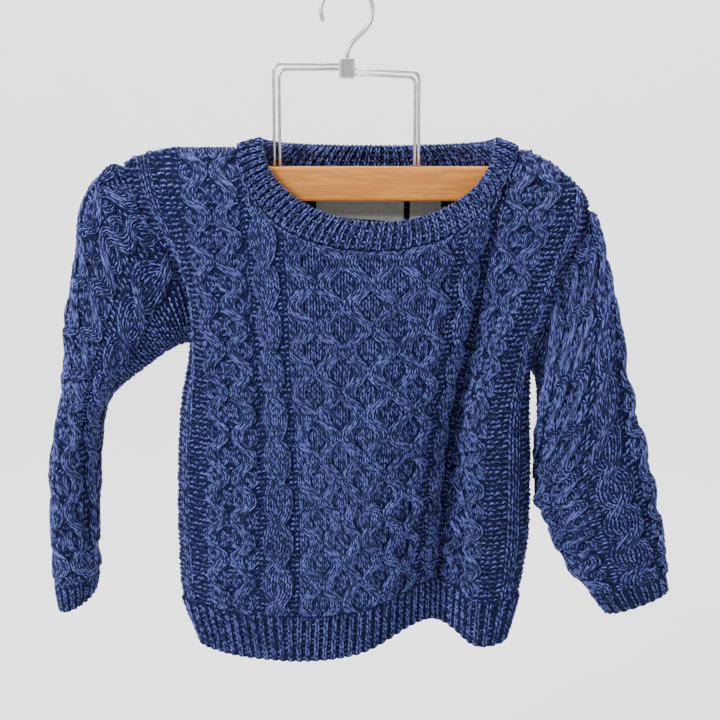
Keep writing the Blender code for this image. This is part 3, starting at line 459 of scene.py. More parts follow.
def armhole_depth(hand, z):
    """How far each armhole edge stands off the seam plane at height z."""
    tip = shoulder_z(np.array(0.0 if hand == "left" else PANEL))
    share = (z - HEM_Z) / (tip - HEM_Z)
    up = np.clip((share - ARMPIT_ROW) / (1 - ARMPIT_ROW), 0, 1)
    return ARMHOLE_DEPTH[hand] * np.sin(np.pi * up) ** ARMHOLE_POWER


def panel_point(side, s, z):
    """Point of a body panel's ground surface, for chart column s and height z."""
    s, z = np.broadcast_arrays(np.asarray(s, float), np.asarray(z, float))
    front_x = at_level(FRONT_X, z)
    if side == "front":
        x = smooth(PANEL_COLUMNS, front_x, s, end_turn=0.0)
        depth = at_level(FRONT_FORWARD, z)
    else:
        first, last = front_x[..., :1], front_x[..., -1:]
        like_front = smooth(BACK_MEETS_FRONT, np.array([0.0, 1.0]), z)[..., None]
        back_x = first + (last - first) * np.array(BACK_SHARE)
        x = smooth(PANEL_COLUMNS, back_x + (front_x - back_x) * like_front, s, end_turn=0.0)
        depth = at_level(BACK_BEHIND, z)
    depth = depth.copy()
    depth[..., 0] = armhole_depth("left", z)
    depth[..., -1] = armhole_depth("right", z)
    y = smooth(PANEL_COLUMNS, depth, s, end_turn=EDGE_TURN)
    below = np.clip((shoulder_z(s) - z) / SHOULDER_ROUND, 0, 1)
    y = y * below ** SHOULDER_POWER
    return np.stack([x, -y if side == "front" else y, z], axis=-1)


def row_z(side, s, v):
    """Height of row v (0 at the hem, 1 at the shoulder or neck) in column s."""
    level = HEM_Z + v * (top_z(side, s) - HEM_Z)
    lift = hem_z(side, s) - HEM_Z
    return level + lift * np.exp(-(level - HEM_Z) / HEM_LIFT_FADE) * (1 - v)


def panel_grid_point(side, s, v):
    s, v = np.broadcast_arrays(np.asarray(s, float), np.asarray(v, float))
    return panel_point(side, s, row_z(side, s, v))


def unit(vectors):
    length = np.linalg.norm(vectors, axis=-1, keepdims=True)
    return vectors / np.maximum(length, 1e-9)


def surface_normals(point, a, b, step_a, step_b, inside):
    """Outward normals of a surface point(a, b), away from the places `inside`."""
    across = point(a + step_a, b) - point(a - step_a, b)
    along = point(a, np.minimum(b + step_b, 1)) - point(a, np.maximum(b - step_b, 0))
    normal = unit(np.cross(across, along))
    return normal if np.sum(normal * (point(a, b) - inside)) > 0 else -normal


def even(count):
    return np.linspace(0.0, 1.0, count)


def panel_normals(side, s, v):
    def point(a, b):
        return panel_grid_point(side, np.clip(a, 0, PANEL), b)

    s, v = np.broadcast_arrays(np.asarray(s, float), np.asarray(v, float))
    normal = surface_normals(point, s, v, 1.5, 0.004, BODY_MIDDLE)
    flat = (s <= 0.01) | (s >= PANEL - 0.01) | ((v > 0.999) & ((s <= NECK_LEFT) | (s >= NECK_RIGHT)))
    normal[flat, 1] = 0.0
    return unit(normal)


def armhole_place(hand, w):
    """Chart column and row of the armhole edge at share w round it."""
    up = np.where(w <= 0.5, 2 * w, 2 - 2 * w)
    return 0.0 if hand == "left" else PANEL, ARMPIT_ROW + (1 - ARMPIT_ROW) * up


def armhole_ring(hand, w):
    """Armhole seam at share w round it: 0 at the underarm, 0.25 front, 0.5 shoulder, 0.75 back."""
    w = np.asarray(w, float) % 1.0
    s, v = armhole_place(hand, w)
    front = panel_grid_point("front", s, v)
    back = panel_grid_point("back", s, v)
    return np.where((w <= 0.5)[..., None], front, back)


def sleeve_rings(hand, w):
    """Rings of the sleeve below the armhole, an oval between underarm and top line."""
    turn = 2 * np.pi * np.asarray(w, float)
    rings = []
    for inner_x, inner_z, outer_x, outer_z, half_depth, _ in SLEEVE_RINGS[hand]:
        along = (1 - np.cos(turn)) / 2
        x = inner_x + (outer_x - inner_x) * along
        z = inner_z + (outer_z - inner_z) * along
        y = -half_depth * np.sign(np.sin(turn)) * np.abs(np.sin(turn)) ** SLEEVE_OVAL_POWER
        rings.append(np.stack([x, y, z], axis=-1))
    return np.array(rings)


def sleeve_point(hand, w, v):
    """Point of a sleeve's ground surface: w round it, v from armhole (0) to cuff (1)."""
    w, v = np.broadcast_arrays(np.asarray(w, float), np.asarray(v, float))
    seam = armhole_ring(hand, w)
    rings = sleeve_rings(hand, w)
    stack = np.concatenate([seam[None], rings], axis=0)
    shares = even(len(stack))
    table = np.moveaxis(stack, 0, -1)
    return smooth(shares, table, np.repeat(v[..., None], 3, axis=-1))


def sleeve_normals(hand, w, v):
    def point(a, b):
        return sleeve_point(hand, a, b)

    w, v = np.broadcast_arrays(np.asarray(w, float), np.asarray(v, float))
    return surface_normals(point, w, v, 0.004, 0.01, point(w + 0.5, v))


def sleeve_girth(v):
    """Flat width round the sleeve, from armhole to cuff."""
    return SLEEVE_TOP_GIRTH + (SLEEVE_CUFF_GIRTH - SLEEVE_TOP_GIRTH) * v ** SLEEVE_TAPER_POWER


def armhole_directions(hand, w):
    """Wall direction on the armhole seam, shared by panel and sleeve, and the way to the sleeve."""
    w = np.asarray(w, float)
    s, v = armhole_place(hand, w)
    front = panel_normals("front", np.full_like(w, s), np.minimum(v, BELOW_EDGE))
    back = panel_normals("back", np.full_like(w, s), np.minimum(v, BELOW_EDGE))
    body = np.where((w <= 0.5)[..., None], front, back)
    sleeve = sleeve_normals(hand, w, np.full_like(w, 0.02))
    tangent = unit(armhole_ring(hand, w + 0.01) - armhole_ring(hand, w - 0.01))
    wall = unit(body + sleeve)
    wall = unit(wall - tangent * np.sum(wall * tangent, axis=-1, keepdims=True))
    onward = np.cross(tangent, wall)
    away = 1.0 if hand == "right" else -1.0
    onward *= np.sign(away * np.mean(onward[..., 0]))
    return wall, onward


def neck_ring(share):
    """Neck seam at share round it: 0 at the left shoulder, front first, back to the left."""
    share = np.asarray(share, float) % 1.0
    forth = share <= 0.5
    s = np.where(forth, NECK_LEFT + (NECK_RIGHT - NECK_LEFT) * neck_pace(2 * share),
                 NECK_RIGHT - (NECK_RIGHT - NECK_LEFT) * neck_pace(2 * share - 1))
    front = panel_grid_point("front", s, 1.0)
    back = panel_grid_point("back", s, 1.0)
    return s, np.where(forth[..., None], front, back)


def neck_pace(u):
    """Even steps round the curved neck edge."""
    return (1 - np.cos(np.pi * np.clip(u, 0, 1))) / 2


def band_edge(share):
    """Free edge of the neckband."""
    turn = np.pi * (1 + 2 * (np.asarray(share, float) % 1.0))
    down = np.abs(np.sin(turn))
    forth = (np.asarray(share, float) % 1.0) <= 0.5
    z = BAND_TOP_Z - np.where(forth, BAND_FRONT_DROP, BAND_BACK_DROP) * down
    y = np.where(forth, -BAND_FRONT_DEPTH, BAND_BACK_DEPTH) * down ** BAND_OVAL_POWER
    return np.stack([BAND_CENTRE_X + BAND_HALF_WIDTH * np.cos(turn), y, z], axis=-1)


def band_point(share, v):
    """Point of the neckband's ground: v runs from the neck seam to the free edge."""
    share, v = np.broadcast_arrays(np.asarray(share, float), np.asarray(v, float))
    _, low = neck_ring(share)
    high = band_edge(share)
    middle = np.array([BAND_CENTRE_X, 0.0, 0.0])
    out = unit((low - middle) * np.array([1.0, 1.0, 0.0]))
    bulge = BAND_ROLL * np.sin(np.pi * v)[..., None]
    return low + (high - low) * v[..., None] + out * bulge


def band_normals(share, v):
    return surface_normals(band_point, share, v, 0.004, 0.05, BAND_HUB)


def neck_directions(share):
    """Wall direction on the neck seam, shared by panel and band, and the way to the band."""
    share = np.asarray(share, float)
    s, _ = neck_ring(share)
    forth = (share % 1.0) <= 0.5
    front = panel_normals("front", s, np.full_like(s, 0.985))
    back = panel_normals("back", s, np.full_like(s, 0.985))
    body = np.where(forth[..., None], front, back)
    band = band_normals(share, np.full_like(s, 0.1))
    tangent = unit(neck_ring(share + 0.004)[1] - neck_ring(share - 0.004)[1])
    corner = np.abs(share % 0.5) < 1e-6
    tangent[corner] = (0.0, 1.0, 0.0)
    wall = unit(body + band)
    wall = unit(wall - tangent * np.sum(wall * tangent, axis=-1, keepdims=True))
    onward = np.cross(tangent, wall)
    inward = NECK_HUB - neck_ring(share)[1]
    onward *= np.sign(np.sum(onward * inward, axis=-1, keepdims=True))
    return wall, onward


# The knitted surface: a grid of ground points and wall directions that stitches are laid on.

@dataclass
class Cloth:
    """Grid of ground points and normals over (across, along), each from 0 to 1, and its chart."""
    points: np.ndarray
    normals: np.ndarray
    wrap: bool
    chart: np.ndarray

    def fold(self, folds):
        """Press soft ridges and troughs into the ground: one row of folds for each."""
        c, t = self.chart[..., 0], self.chart[..., 1]
        height = np.zeros(c.shape)
        for at_c, at_t, half_length, half_width, lean, rise in folds:
            turn = math.radians(lean)
            along = (c - at_c) * math.sin(turn) + (t - at_t) * math.cos(turn)
            across = (c - at_c) * math.cos(turn) - (t - at_t) * math.sin(turn)
            bend = across - FOLD_BOW * half_width * (along / half_length) ** 2
            height += rise * np.exp(-(along / half_length) ** 2 - (bend / half_width) ** 2)
        self.points = self.points + self.normals * (height * self.chart[..., 2])[..., None]

    def at(self, across, along):
        rows, columns = self.points.shape[:2]
        y = np.clip(along, 0, 1) * (rows - 1)
        x = (across % 1.0) * columns if self.wrap else np.clip(across, 0, 1) * (columns - 1)
        i = np.minimum(y.astype(int), rows - 2)
        j = x.astype(int) % columns if self.wrap else np.minimum(x.astype(int), columns - 2)
        k = (j + 1) % columns
        v = (y - i)[:, None]
        u = (x - np.floor(x) if self.wrap else x - j)[:, None]

        def mixed(grid):
            low = grid[i, j] * (1 - u) + grid[i, k] * u
            high = grid[i + 1, j] * (1 - u) + grid[i + 1, k] * u
            return low * (1 - v) + high * v

        return mixed(self.points), unit(mixed(self.normals))


def panel_cloth(side):
    """Ground of a body panel, with the directions that its seams share with the next piece."""
    columns, rows = PANEL_GRID
    s = np.linspace(0, PANEL, columns)
    gap = -SEAM / 2 if side == "front" else SEAM / 2
    points, normals = [], []
    for v in np.linspace(0, 1, rows):
        level = np.full_like(s, v)
        point = panel_grid_point(side, s, level)
        normal = panel_normals(side, s, level)
        if v >= ARMPIT_ROW - 1e-9:
            up = (v - ARMPIT_ROW) / (1 - ARMPIT_ROW)
            w = np.array([up / 2 if side == "front" else 1 - up / 2])
            normal[0] = armhole_directions("left", w)[0][0]
            normal[-1] = armhole_directions("right", w)[0][0]
        if v > 0.9999:
            half = (s - NECK_LEFT) / (NECK_RIGHT - NECK_LEFT)
            on_neck = (half > -1e-9) & (half < 1 + 1e-9)
            pace = np.arccos(1 - 2 * np.clip(half[on_neck], 0, 1)) / np.pi
            normal[on_neck] = neck_directions(pace / 2 if side == "front" else 1 - pace / 2)[0]
        on_seam = np.abs(point[:, 1]) < abs(gap)
        normal[on_seam, 1] = 0.0
        point[:, 1] += gap
        points.append(point)
        normals.append(unit(normal))
    along = np.linspace(0, 1, rows)[:, None] * (top_z(side, s) - HEM_Z)
    across = np.broadcast_to(s, along.shape)
    to_edge = np.minimum(np.minimum(across, PANEL - across), top_z(side, s) - HEM_Z - along)
    chart = np.stack([across, along, np.clip(to_edge / FOLD_FADE, 0, 1)], axis=-1)
    return Cloth(np.array(points), np.array(normals), False, chart)


def tube(columns, rows, seam, directions, point, normals):
    """Points and normals of a tube of cloth, from the ring it is sewn to, to its free edge."""
    w = even(columns + 1)[:-1]
    direction, onward = directions(w)
    first = seam(w) + SEAM * onward
    first[:, 1] += np.where(w <= 0.5, -SEAM / 2, SEAM / 2)
    levels = [np.full_like(w, v) for v in even(rows)[1:]]
    return (np.array([first] + [point(w, v) for v in levels]),
            np.array([direction] + [normals(w, v) for v in levels]))


def sleeve_turn(hand, v):
    """How far the chart has turned round the sleeve."""
    turns = np.array([0.0] + [row[5] for row in SLEEVE_RINGS[hand]])
    return smooth(even(len(turns)), turns, v)


def sleeve_cloth(hand):
    columns, rows = SLEEVE_GRID
    points, normals = tube(
        columns, rows, lambda w: armhole_ring(hand, w), lambda w: armhole_directions(hand, w),
        lambda w, v: sleeve_point(hand, w, v), lambda w, v: sleeve_normals(hand, w, v))
    v = np.broadcast_to(even(rows)[:, None], (rows, columns))
    across = ((even(columns + 1)[None, :-1] + sleeve_turn(hand, v)) % 1.0 - 0.5) * sleeve_girth(v)
    fade = np.clip(v * SLEEVE_LENGTH / FOLD_FADE, 0, 1)
    return Cloth(points, normals, True, np.stack([across, (1 - v) * SLEEVE_LENGTH, fade], axis=-1))


def band_cloth():
    columns, rows = BAND_GRID
    points, normals = tube(
        columns, rows, lambda share: neck_ring(share)[1], neck_directions, band_point, band_normals)
    across = np.broadcast_to(even(columns + 1)[:-1] * BAND_LENGTH, (rows, columns))
    along = np.broadcast_to(np.linspace(0, BAND_WIDTH, rows)[:, None], (rows, columns))
    return Cloth(points, normals, True, np.stack([across, along, np.zeros((rows, columns))], axis=-1))


# Reliefs, as a share of RAISE over the purl ground.

def ridge(distance, half_width):
    return np.sqrt(np.clip(1 - (distance / half_width) ** 2, 0, 1))


@dataclass
class Strand:
    """One strand of a cable: it swings round its own middle as it climbs, over or under its partner."""
    middle: float
    swing: float
    period: float
    half: float
    height: float
    wales: int
    over: float = 0.0

    def centre(self, t):
        turn = 2 * np.pi * t / self.period
        return self.middle + self.swing * (np.cos(turn) - ROUNDING * np.cos(3 * turn)) / (1 - ROUNDING)

    def level(self, t):
        return self.height * (1 + self.over * TWIST * np.sin(2 * np.pi * t / self.period))


def rope(middle, turn):
    """Two strands that twist round each other; the one that leans towards turn lies on top."""
    swing = turn * (ROPE / 2 - ROPE_STRAND)
    return [Strand(middle, swing, 2 * ROPE_CROSSING, ROPE_STRAND, 1 - TWIST, 3, -1.0),
            Strand(middle, -swing, 2 * ROPE_CROSSING, ROPE_STRAND, 1 - TWIST, 3, 1.0)]


def wide_cable(middle):
    """A chain of rings: two mirrored strands on top, and two that pass beneath them."""
    strands = []
    for hand in (-1, 1):
        centre = middle + hand * WIDE_CABLE / 4
        swing = hand * (WIDE_CABLE / 4 - WIDE_HALF)
        strands.append(Strand(centre, swing, 2 * WIDE_CROSSING, WIDE_HALF, 1.0, 3))
        strands.append(Strand(centre, -swing, 2 * WIDE_CROSSING, WIDE_HALF, WIDE_UNDER, 3))
    return strands


def honeycomb(left):
    strands = []
    for k in range(HONEY_HALVES):
        lean = HONEY_LEAN if k % 2 == 0 else -HONEY_LEAN
        strands.append(Strand(left + (k + 0.5) * HONEY_CELL, lean, HONEY_PERIOD, HONEY_STRAND, 1.0, 3))
    return strands


def body_strands():
    """Every strand of a body panel, in chart places."""
    strands = honeycomb(HONEY_LEFT)
    rope_middle = NECK_LEFT + ROPE_GUTTER + ROPE / 2
    wide_middle = SIDE_BAND + WIDE_CABLE / 2
    strands += rope(rope_middle, 1) + rope(PANEL - rope_middle, -1)
    strands += wide_cable(wide_middle) + wide_cable(PANEL - wide_middle)
    for middle in (SIDE_BAND / 2, PANEL - SIDE_BAND / 2):
        strands.append(Strand(middle, 0.0, HONEY_PERIOD, SIDE_RIB, 0.5, 2))
    return strands


def sleeve_strands():
    strands = rope(0.0, 1) + wide_cable(SLEEVE_WIDE_AT) + wide_cable(-SLEEVE_WIDE_AT)
    outer = SLEEVE_WIDE_AT + WIDE_CABLE / 2 + SLEEVE_OUTER_ROPE
    return strands + rope(outer, -1) + rope(-outer, 1)


def wander(c, t):
    """Wales that stray a little from straight."""
    return c + WANDER * np.sin(t / WANDER_ALONG + c / WANDER_ACROSS)


def panel_piece(side):
    """Chart of a body panel: c across from the left side seam, t up from the hem."""
    cloth = panel_cloth(side)

    def share(c, t):
        return wander(c, t) / PANEL, t / (top_z(side, c) - HEM_Z)

    def room(c, t):
        return np.minimum(np.minimum(c, PANEL - c), top_z(side, c) - HEM_Z - t)

    return Piece(cloth, share, room, body_strands(), RIB_HEIGHT, PANEL / PANEL_RIBS)


def sleeve_piece(hand):
    """Chart of a sleeve: c across from the middle cable, t up from the cuff."""
    cloth = sleeve_cloth(hand)

    def share(c, t):
        v = np.clip(1 - t / SLEEVE_LENGTH, 0, 1)
        return wander(c, t) / sleeve_girth(v) + 0.5 - sleeve_turn(hand, v), v

    def room(c, t):
        to_seam = sleeve_girth(np.clip(1 - t / SLEEVE_LENGTH, 0, 1)) / 2 - np.abs(c)
        return np.minimum(to_seam, SLEEVE_LENGTH - t)

    return Piece(cloth, share, room, sleeve_strands(), CUFF_HEIGHT, SLEEVE_CUFF_GIRTH / CUFF_RIBS)


@dataclass
class Piece:
    """A knitted piece: cloth, chart place on it, room left inside its seams, strands and ribs."""
    cloth: Cloth
    share: callable
    room: callable
    strands: list
    rib_height: float
    rib_pitch: float

    def edge_fade(self, c, t):
        over_welt = (t - self.rib_height) / WELT_FADE + 0.5
        return np.clip(np.minimum(self.room(c, t) / SEAM_FADE, over_welt), 0, 1)

    def relief(self, c, t):
        """Height of the cables over the ground, with every strand."""
        highest = np.zeros(np.broadcast(c, t).shape)
        for strand in self.strands:
            rise = strand.level(t) * ridge(c - strand.centre(t), strand.half)
            highest = np.maximum(highest, rise)
        return RAISE * highest * self.edge_fade(c, t)

    def rib_rise(self, c, t):
        inside = np.clip((self.rib_height - t) / WELT_FADE + 0.5, 0, 1)
        return RIB_RAISE * ridge((c / self.rib_pitch) % 1.0 - 0.5, RIB_HALF) * inside

    def shell(self, name, folds, material):
        self.cloth.fold(folds)
        c, t = self.cloth.chart[..., 0], self.cloth.chart[..., 1]
        rise = SHELL_SHARE * (self.relief(c, t) + self.rib_rise(c, t))
        return shell_piece(name, self.cloth, rise, SHELL_THICK, material)


class Yarn:
    """Collects the yarn legs of one piece and joins them into one mesh."""

    LEVELS = np.array([0.0, 0.28, 0.72, 1.0])
    FACES = np.array([(0, 1, 2), (0, 2, 3), (0, 3, 1), (1, 5, 2), (1, 4, 5), (2, 6, 3), (2, 5, 6),
                      (3, 4, 1), (3, 6, 4), (7, 5, 4), (7, 6, 5), (7, 4, 6)])

    def __init__(self, cloth, seed):
        self.cloth = cloth
        self.random = np.random.default_rng(seed)
        self.points = []
        self.marks = []

    def lay(self, share, c, t, height, radius=LEG_RADIUS, outward=1.0, stray=1.0):
        """Legs through four chart places each: c, t and height are (legs, 4), from foot to head."""
        if len(c) == 0:
            return
        c = c + self.random.normal(0, STRAY[0] * stray, (len(c), 1))
        t = t + self.random.normal(0, STRAY[1] * stray, (len(t), 1))
        height = height + self.random.normal(0, STRAY[2] * stray, (len(t), 1))
        places, normals = [], []
        for k in range(4):
            across, along = share(c[:, k], t[:, k])
            point, normal = self.cloth.at(across, along)
            normal = normal * outward
            places.append(point + normal * height[:, k, None])
            normals.append(normal)
        onward = unit(places[3] - places[0])
        up = unit(normals[1] + normals[2])
        side = unit(np.cross(onward, up))
        thick = radius * self.random.normal(1.0, THICK_STRAY, (len(c), 1))
        rings = [places[0] - up * END_SINK * thick]
        for k in (1, 2):
            rings += [places[k] - side * thick - up * SIDE_SINK * thick,
                      places[k] + up * thick,
                      places[k] + side * thick - up * SIDE_SINK * thick]
        rings.append(places[3] - up * END_SINK * thick)
        self.points.append(np.stack(rings, axis=1))
        mark = np.zeros((len(c), 8, 3))
        mark[:, :, 0] = np.repeat(self.LEVELS, (1, 3, 3, 1))
        mark[:, :, 1] = (0, -1, 0, 1, -1, 0, 1, 0)
        mark[:, :, 2] = self.random.random((len(c), 1))
        self.marks.append(mark)

    def build(self, name, material):
        points = np.concatenate(self.points)
        marks = np.concatenate(self.marks)
        faces = (self.FACES[None] + 8 * np.arange(len(points))[:, None, None]).reshape(-1, 3)
        return mesh_piece(name, points.reshape(-1, 3), faces, material, "yarn", marks.reshape(-1, 3))


def add_object(name, mesh, material):
    mesh.shade_smooth()
    mesh.materials.append(material)
    piece = bpy.data.objects.new(name, mesh)
    bpy.context.scene.collection.objects.link(piece)
    return piece


def mesh_piece(name, points, faces, material, mark_name, marks):
    """An object from arrays of points (mm), triangles and one vector mark at each point."""
    mesh = bpy.data.meshes.new(name)
    mesh.vertices.add(len(points))
    mesh.vertices.foreach_set("co", (points * MM).astype(np.float32).ravel())
    mesh.loops.add(faces.size)
    mesh.loops.foreach_set("vertex_index", faces.astype(np.int32).ravel())
    mesh.polygons.add(len(faces))
    mesh.polygons.foreach_set("loop_start", np.arange(0, faces.size, 3, dtype=np.int32))
    mesh.update(calc_edges=True)
    mesh.attributes.new(mark_name, "FLOAT_VECTOR", "POINT")
    mesh.attributes[mark_name].data.foreach_set("vector", marks.astype(np.float32).ravel())
    piece = add_object(name, mesh, material)
    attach(piece, "root")
    return piece


def knit_rows(low, high):
    """Foot of each row between two chart heights."""
    return np.arange(np.ceil(low / ROW), np.floor(high / ROW)) * ROW


def lay_wale(yarn, share, path, feet, spread, level, keep, outward=1.0):
    """A wale of V stitches, by its middle path(t), height level(offset, t) and keep(c, t, height, room)."""
    u = Yarn.LEVELS[None]
    for hand in (-1, 1):
        t = feet[:, None] + u * LEG_REACH * ROW
        offset = hand * (LEG_SHUT + (LEG_OPEN * spread - LEG_SHUT) * u)
        c = path(t) + offset
        height = level(offset + 0 * t, t)
        kept = keep(c[:, 1], t[:, 1], height[:, 1], SEAM_ROOM)
        kept &= keep(c[:, 3], t[:, 3], height[:, 3] + LEG_RADIUS, -2 * ROW)
        yarn.lay(share, c[kept], t[kept], height[kept], outward=outward)


def lay_purl(yarn, share, c, t, height, width=WALE, outward=1.0):
    """Purl bumps: short arcs across the wale."""
    flat = height[:, None] * np.ones((1, 4))
    yarn.lay(share, c[:, None] + PURL_REACH * width, t[:, None] + PURL_RISE * ROW, flat,
             PURL_RADIUS, outward, PURL_STRAY)


def lay_cables(piece, yarn, low, high):
    """The wales of every strand, where no other strand passes over them."""
    rows = knit_rows(low, high)

    def keep(c, t, height, room):
        return (piece.room(c, t) > room) & (SHELL_SHARE * piece.relief(c, t) < height + COVER_ROOM)

    for strand in piece.strands:
        spacing = 2 * strand.half / (strand.wales + 0.1)
        for k in range(strand.wales):
            aside = (k - (strand.wales - 1) / 2) * spacing

            def path(t, strand=strand, aside=aside):
                return strand.centre(t) + aside

            def level(offset, t, strand=strand, aside=aside, path=path):
                rise = ridge(CROWN * (aside + offset), strand.half)
                return SHELL_SHARE * RAISE * strand.level(t) * rise * piece.edge_fade(path(t), t)

            lay_wale(yarn, piece.share, path, rows, spacing / WALE, level, keep)


def straight(middle):
    """Path of a wale that climbs straight."""
    return lambda t: middle + 0 * t


def lay_ground(piece, yarn, low, high, left, right, is_knit):
    """Lattice of knit or purl stitches where no strand lies."""
    rows = knit_rows(low, high)
    for wale in np.arange(left + WALE / 2, right, WALE):
        c = np.full_like(rows, wale)
        middle = rows + ROW / 2
        relief = SHELL_SHARE * piece.relief(c, middle) + PURL_LIFT
        clear = (relief < GROUND_UNDER * RAISE) & (piece.room(c, middle) > SEAM_ROOM)
        if is_knit(wale):
            def level(offset, t, wale=wale):
                return SHELL_SHARE * piece.relief(wale + offset, t) + GROUND_LIFT

            def keep(c, t, height, room):
                return piece.room(c, t) > room

            lay_wale(yarn, piece.share, straight(wale), rows[clear], 1.0, level, keep)
        else:
            lay_purl(yarn, piece.share, c[clear], middle[clear], relief[clear])


def lay_ribs(yarn, share, width, height, pitch, left=0.0, base=0.0, outward=1.0):
    """Knit-one purl-one ribbing from t = 0 up to height."""
    count = int(round(width / pitch))
    rows = knit_rows(0.0, height)

    def level(offset, t):
        return base + SHELL_SHARE * RIB_RAISE * ridge(offset / pitch, RIB_HALF)

    def keep(c, t, height, room):
        return np.full(c.shape, True)

    for k in range(count):
        middle = left + (k + 0.5) * pitch
        lay_wale(yarn, share, straight(middle), rows, RIB_SPREAD, level, keep, outward)
        gutter = np.full_like(rows, left + k * pitch)
        flat = np.full_like(rows, base + GUTTER_LIFT)
        lay_purl(yarn, share, gutter, rows + ROW / 2, flat, GUTTER_SHARE * pitch, outward)


def lay_edge(yarn, share, left, right, t, height, outward=1.0):
    """A cast-on or bound-off chain along an edge."""
    count = int(round((right - left) / WALE))
    start = np.linspace(left, right, count, endpoint=False)
    c = start[:, None] + EDGE_REACH * WALE
    flat = np.full_like(c, height)
    yarn.lay(share, c, np.full_like(c, t) + EDGE_RISE, flat, EDGE_RADIUS, outward)


def shell_piece(name, cloth, outer_rise, thick, material):
    """A thin closed wall: its outer face stands outer_rise over the ground, its inner face is plain."""
    rows, columns = cloth.points.shape[:2]
    outer = cloth.points + cloth.normals * outer_rise[..., None]
    inner = cloth.points - cloth.normals * thick
    index = np.arange(rows * columns).reshape(rows, columns)
    if cloth.wrap:
        index = np.concatenate([index, index[:, :1]], axis=1)
    under = index + rows * columns

    def quads(a, b, c, d):
        corners = np.stack([a.ravel(), b.ravel(), c.ravel(), d.ravel()], axis=1)
        return np.concatenate([corners[:, (0, 1, 2)], corners[:, (0, 2, 3)]])

    a, b, c, d = index[:-1, :-1], index[:-1, 1:], index[1:, 1:], index[1:, :-1]
    face = quads(a, b, c, d)
    faces = [face, face[:, ::-1] + rows * columns,
             quads(index[0, 1:], index[0, :-1], under[0, :-1], under[0, 1:]),
             quads(index[-1, :-1], index[-1, 1:], under[-1, 1:], under[-1, :-1])]
    if not cloth.wrap:
        faces += [quads(index[:-1, 0], index[1:, 0], under[1:, 0], under[:-1, 0]),
                  quads(index[1:, -1], index[:-1, -1], under[:-1, -1], under[1:, -1])]
    faces = np.concatenate(faces)
    points = np.concatenate([outer.reshape(-1, 3), inner.reshape(-1, 3)])
    first, second, third = (points[face[:, k]] for k in range(3))
    facing = np.sum(np.cross(second - first, third - first) * cloth.normals.reshape(-1, 3)[face[:, 0]])
    if facing < 0:
        faces = faces[:, ::-1]
    marks = np.concatenate([cloth.chart.reshape(-1, 3), cloth.chart.reshape(-1, 3)])
    return mesh_piece(name, points, faces, material, "chart", marks)


def is_purl(wale):
    return False


def is_honey_knit(wale):
    return HONEY_LEFT < wale < HONEY_RIGHT


def add_panel_cloth(side, shaded_shell_wool, wool):
    """Front or back: a shell on the panel's form, with its stitches laid on it."""
    piece = panel_piece(side)
    shell = piece.shell("cloth_" + side, FOLDS["body_" + side], shaded_shell_wool)
    cables = Yarn(piece.cloth, 11 if side == "front" else 12)
    lay_cables(piece, cables, RIB_HEIGHT - ROW, top_limit(side))
    ground = Yarn(piece.cloth, 21 if side == "front" else 22)
    lay_ground(piece, ground, RIB_HEIGHT - ROW, top_limit(side), 0.0, PANEL, is_honey_knit)
    lay_ribs(ground, piece.share, PANEL, RIB_HEIGHT, piece.rib_pitch)
    lay_edge(ground, piece.share, 0.0, PANEL, 0.0, 0.2)
    lay_seam(piece, ground, side)
    if side == "back":
        lay_reverse(piece, ground)
    yarns = [cables.build("cables_" + side, wool), ground.build("stitches_" + side, wool)]
    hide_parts("body_" + side)
    width = np.linspace(0, PANEL, 200)
    flat_area = float(np.mean(top_z(side, width) - HEM_Z)) * PANEL
    tallest = float(np.max(top_z(side, width))) - HEM_Z
    return [shell] + yarns


def lay_seam(piece, yarn, side):
    """The chain along a panel's shoulders and neck, where it is sewn."""
    start = np.arange(0.0, PANEL - WALE, CHAIN_PACE * WALE)
    c = start[:, None] + CHAIN_REACH * WALE
    t = top_z(side, np.clip(c, 0, PANEL)) - HEM_Z - CHAIN_INSET
    yarn.lay(piece.share, c, t + CHAIN_RISE, np.full_like(c, CHAIN_LIFT), EDGE_RADIUS)


def top_limit(side):
    return float(np.max(top_z(side, np.linspace(0, PANEL, 100)))) - HEM_Z


def lay_reverse(piece, yarn):
    """Purl bumps on the inside of the back, as far down as the neck shows."""
    low = top_limit("back") - REVERSE_DEPTH
    rows = knit_rows(low, top_limit("back"))
    for wale in np.arange(NECK_LEFT - 30 + WALE / 2, NECK_RIGHT + 30, WALE):
        c = np.full_like(rows, wale)
        clear = piece.room(c, rows + ROW / 2) > SEAM_ROOM
        flat = np.full(int(np.sum(clear)), SHELL_THICK + 0.2)
        lay_purl(yarn, piece.share, c[clear], rows[clear] + ROW / 2, flat, WALE, -1.0)


def add_sleeve_cloth(hand, shaded_shell_wool, wool):
    piece = sleeve_piece(hand)
    shell = piece.shell("cloth_sleeve_" + hand, FOLDS["sleeve_" + hand], shaded_shell_wool)
    yarn = Yarn(piece.cloth, 31 if hand == "left" else 32)
    lay_cables(piece, yarn, CUFF_HEIGHT - ROW, SLEEVE_LENGTH)
    half = SLEEVE_TOP_GIRTH / 2
    lay_ground(piece, yarn, CUFF_HEIGHT - ROW, SLEEVE_LENGTH, -half, half, is_purl)
    lay_cuff(piece, yarn)
    stitches = yarn.build("stitches_sleeve_" + hand, wool)
    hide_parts("sleeve_" + hand)
    return [shell, stitches]


def lay_cuff(piece, yarn):
    """Ribs round the cuff: the chart's width shrinks towards the edge, so they follow its share."""
    def share(c, t):
        narrow = sleeve_girth(np.clip(1 - t / SLEEVE_LENGTH, 0, 1)) / SLEEVE_CUFF_GIRTH
        return piece.share(c * narrow, t)

    half = SLEEVE_CUFF_GIRTH / 2
    lay_ribs(yarn, share, SLEEVE_CUFF_GIRTH, CUFF_HEIGHT, piece.rib_pitch, left=-half)
    lay_edge(yarn, share, -half, half, 0.0, 0.2)
    lay_edge(yarn, share, -half, half, 0.0, SHELL_THICK - 0.4, -1.0)


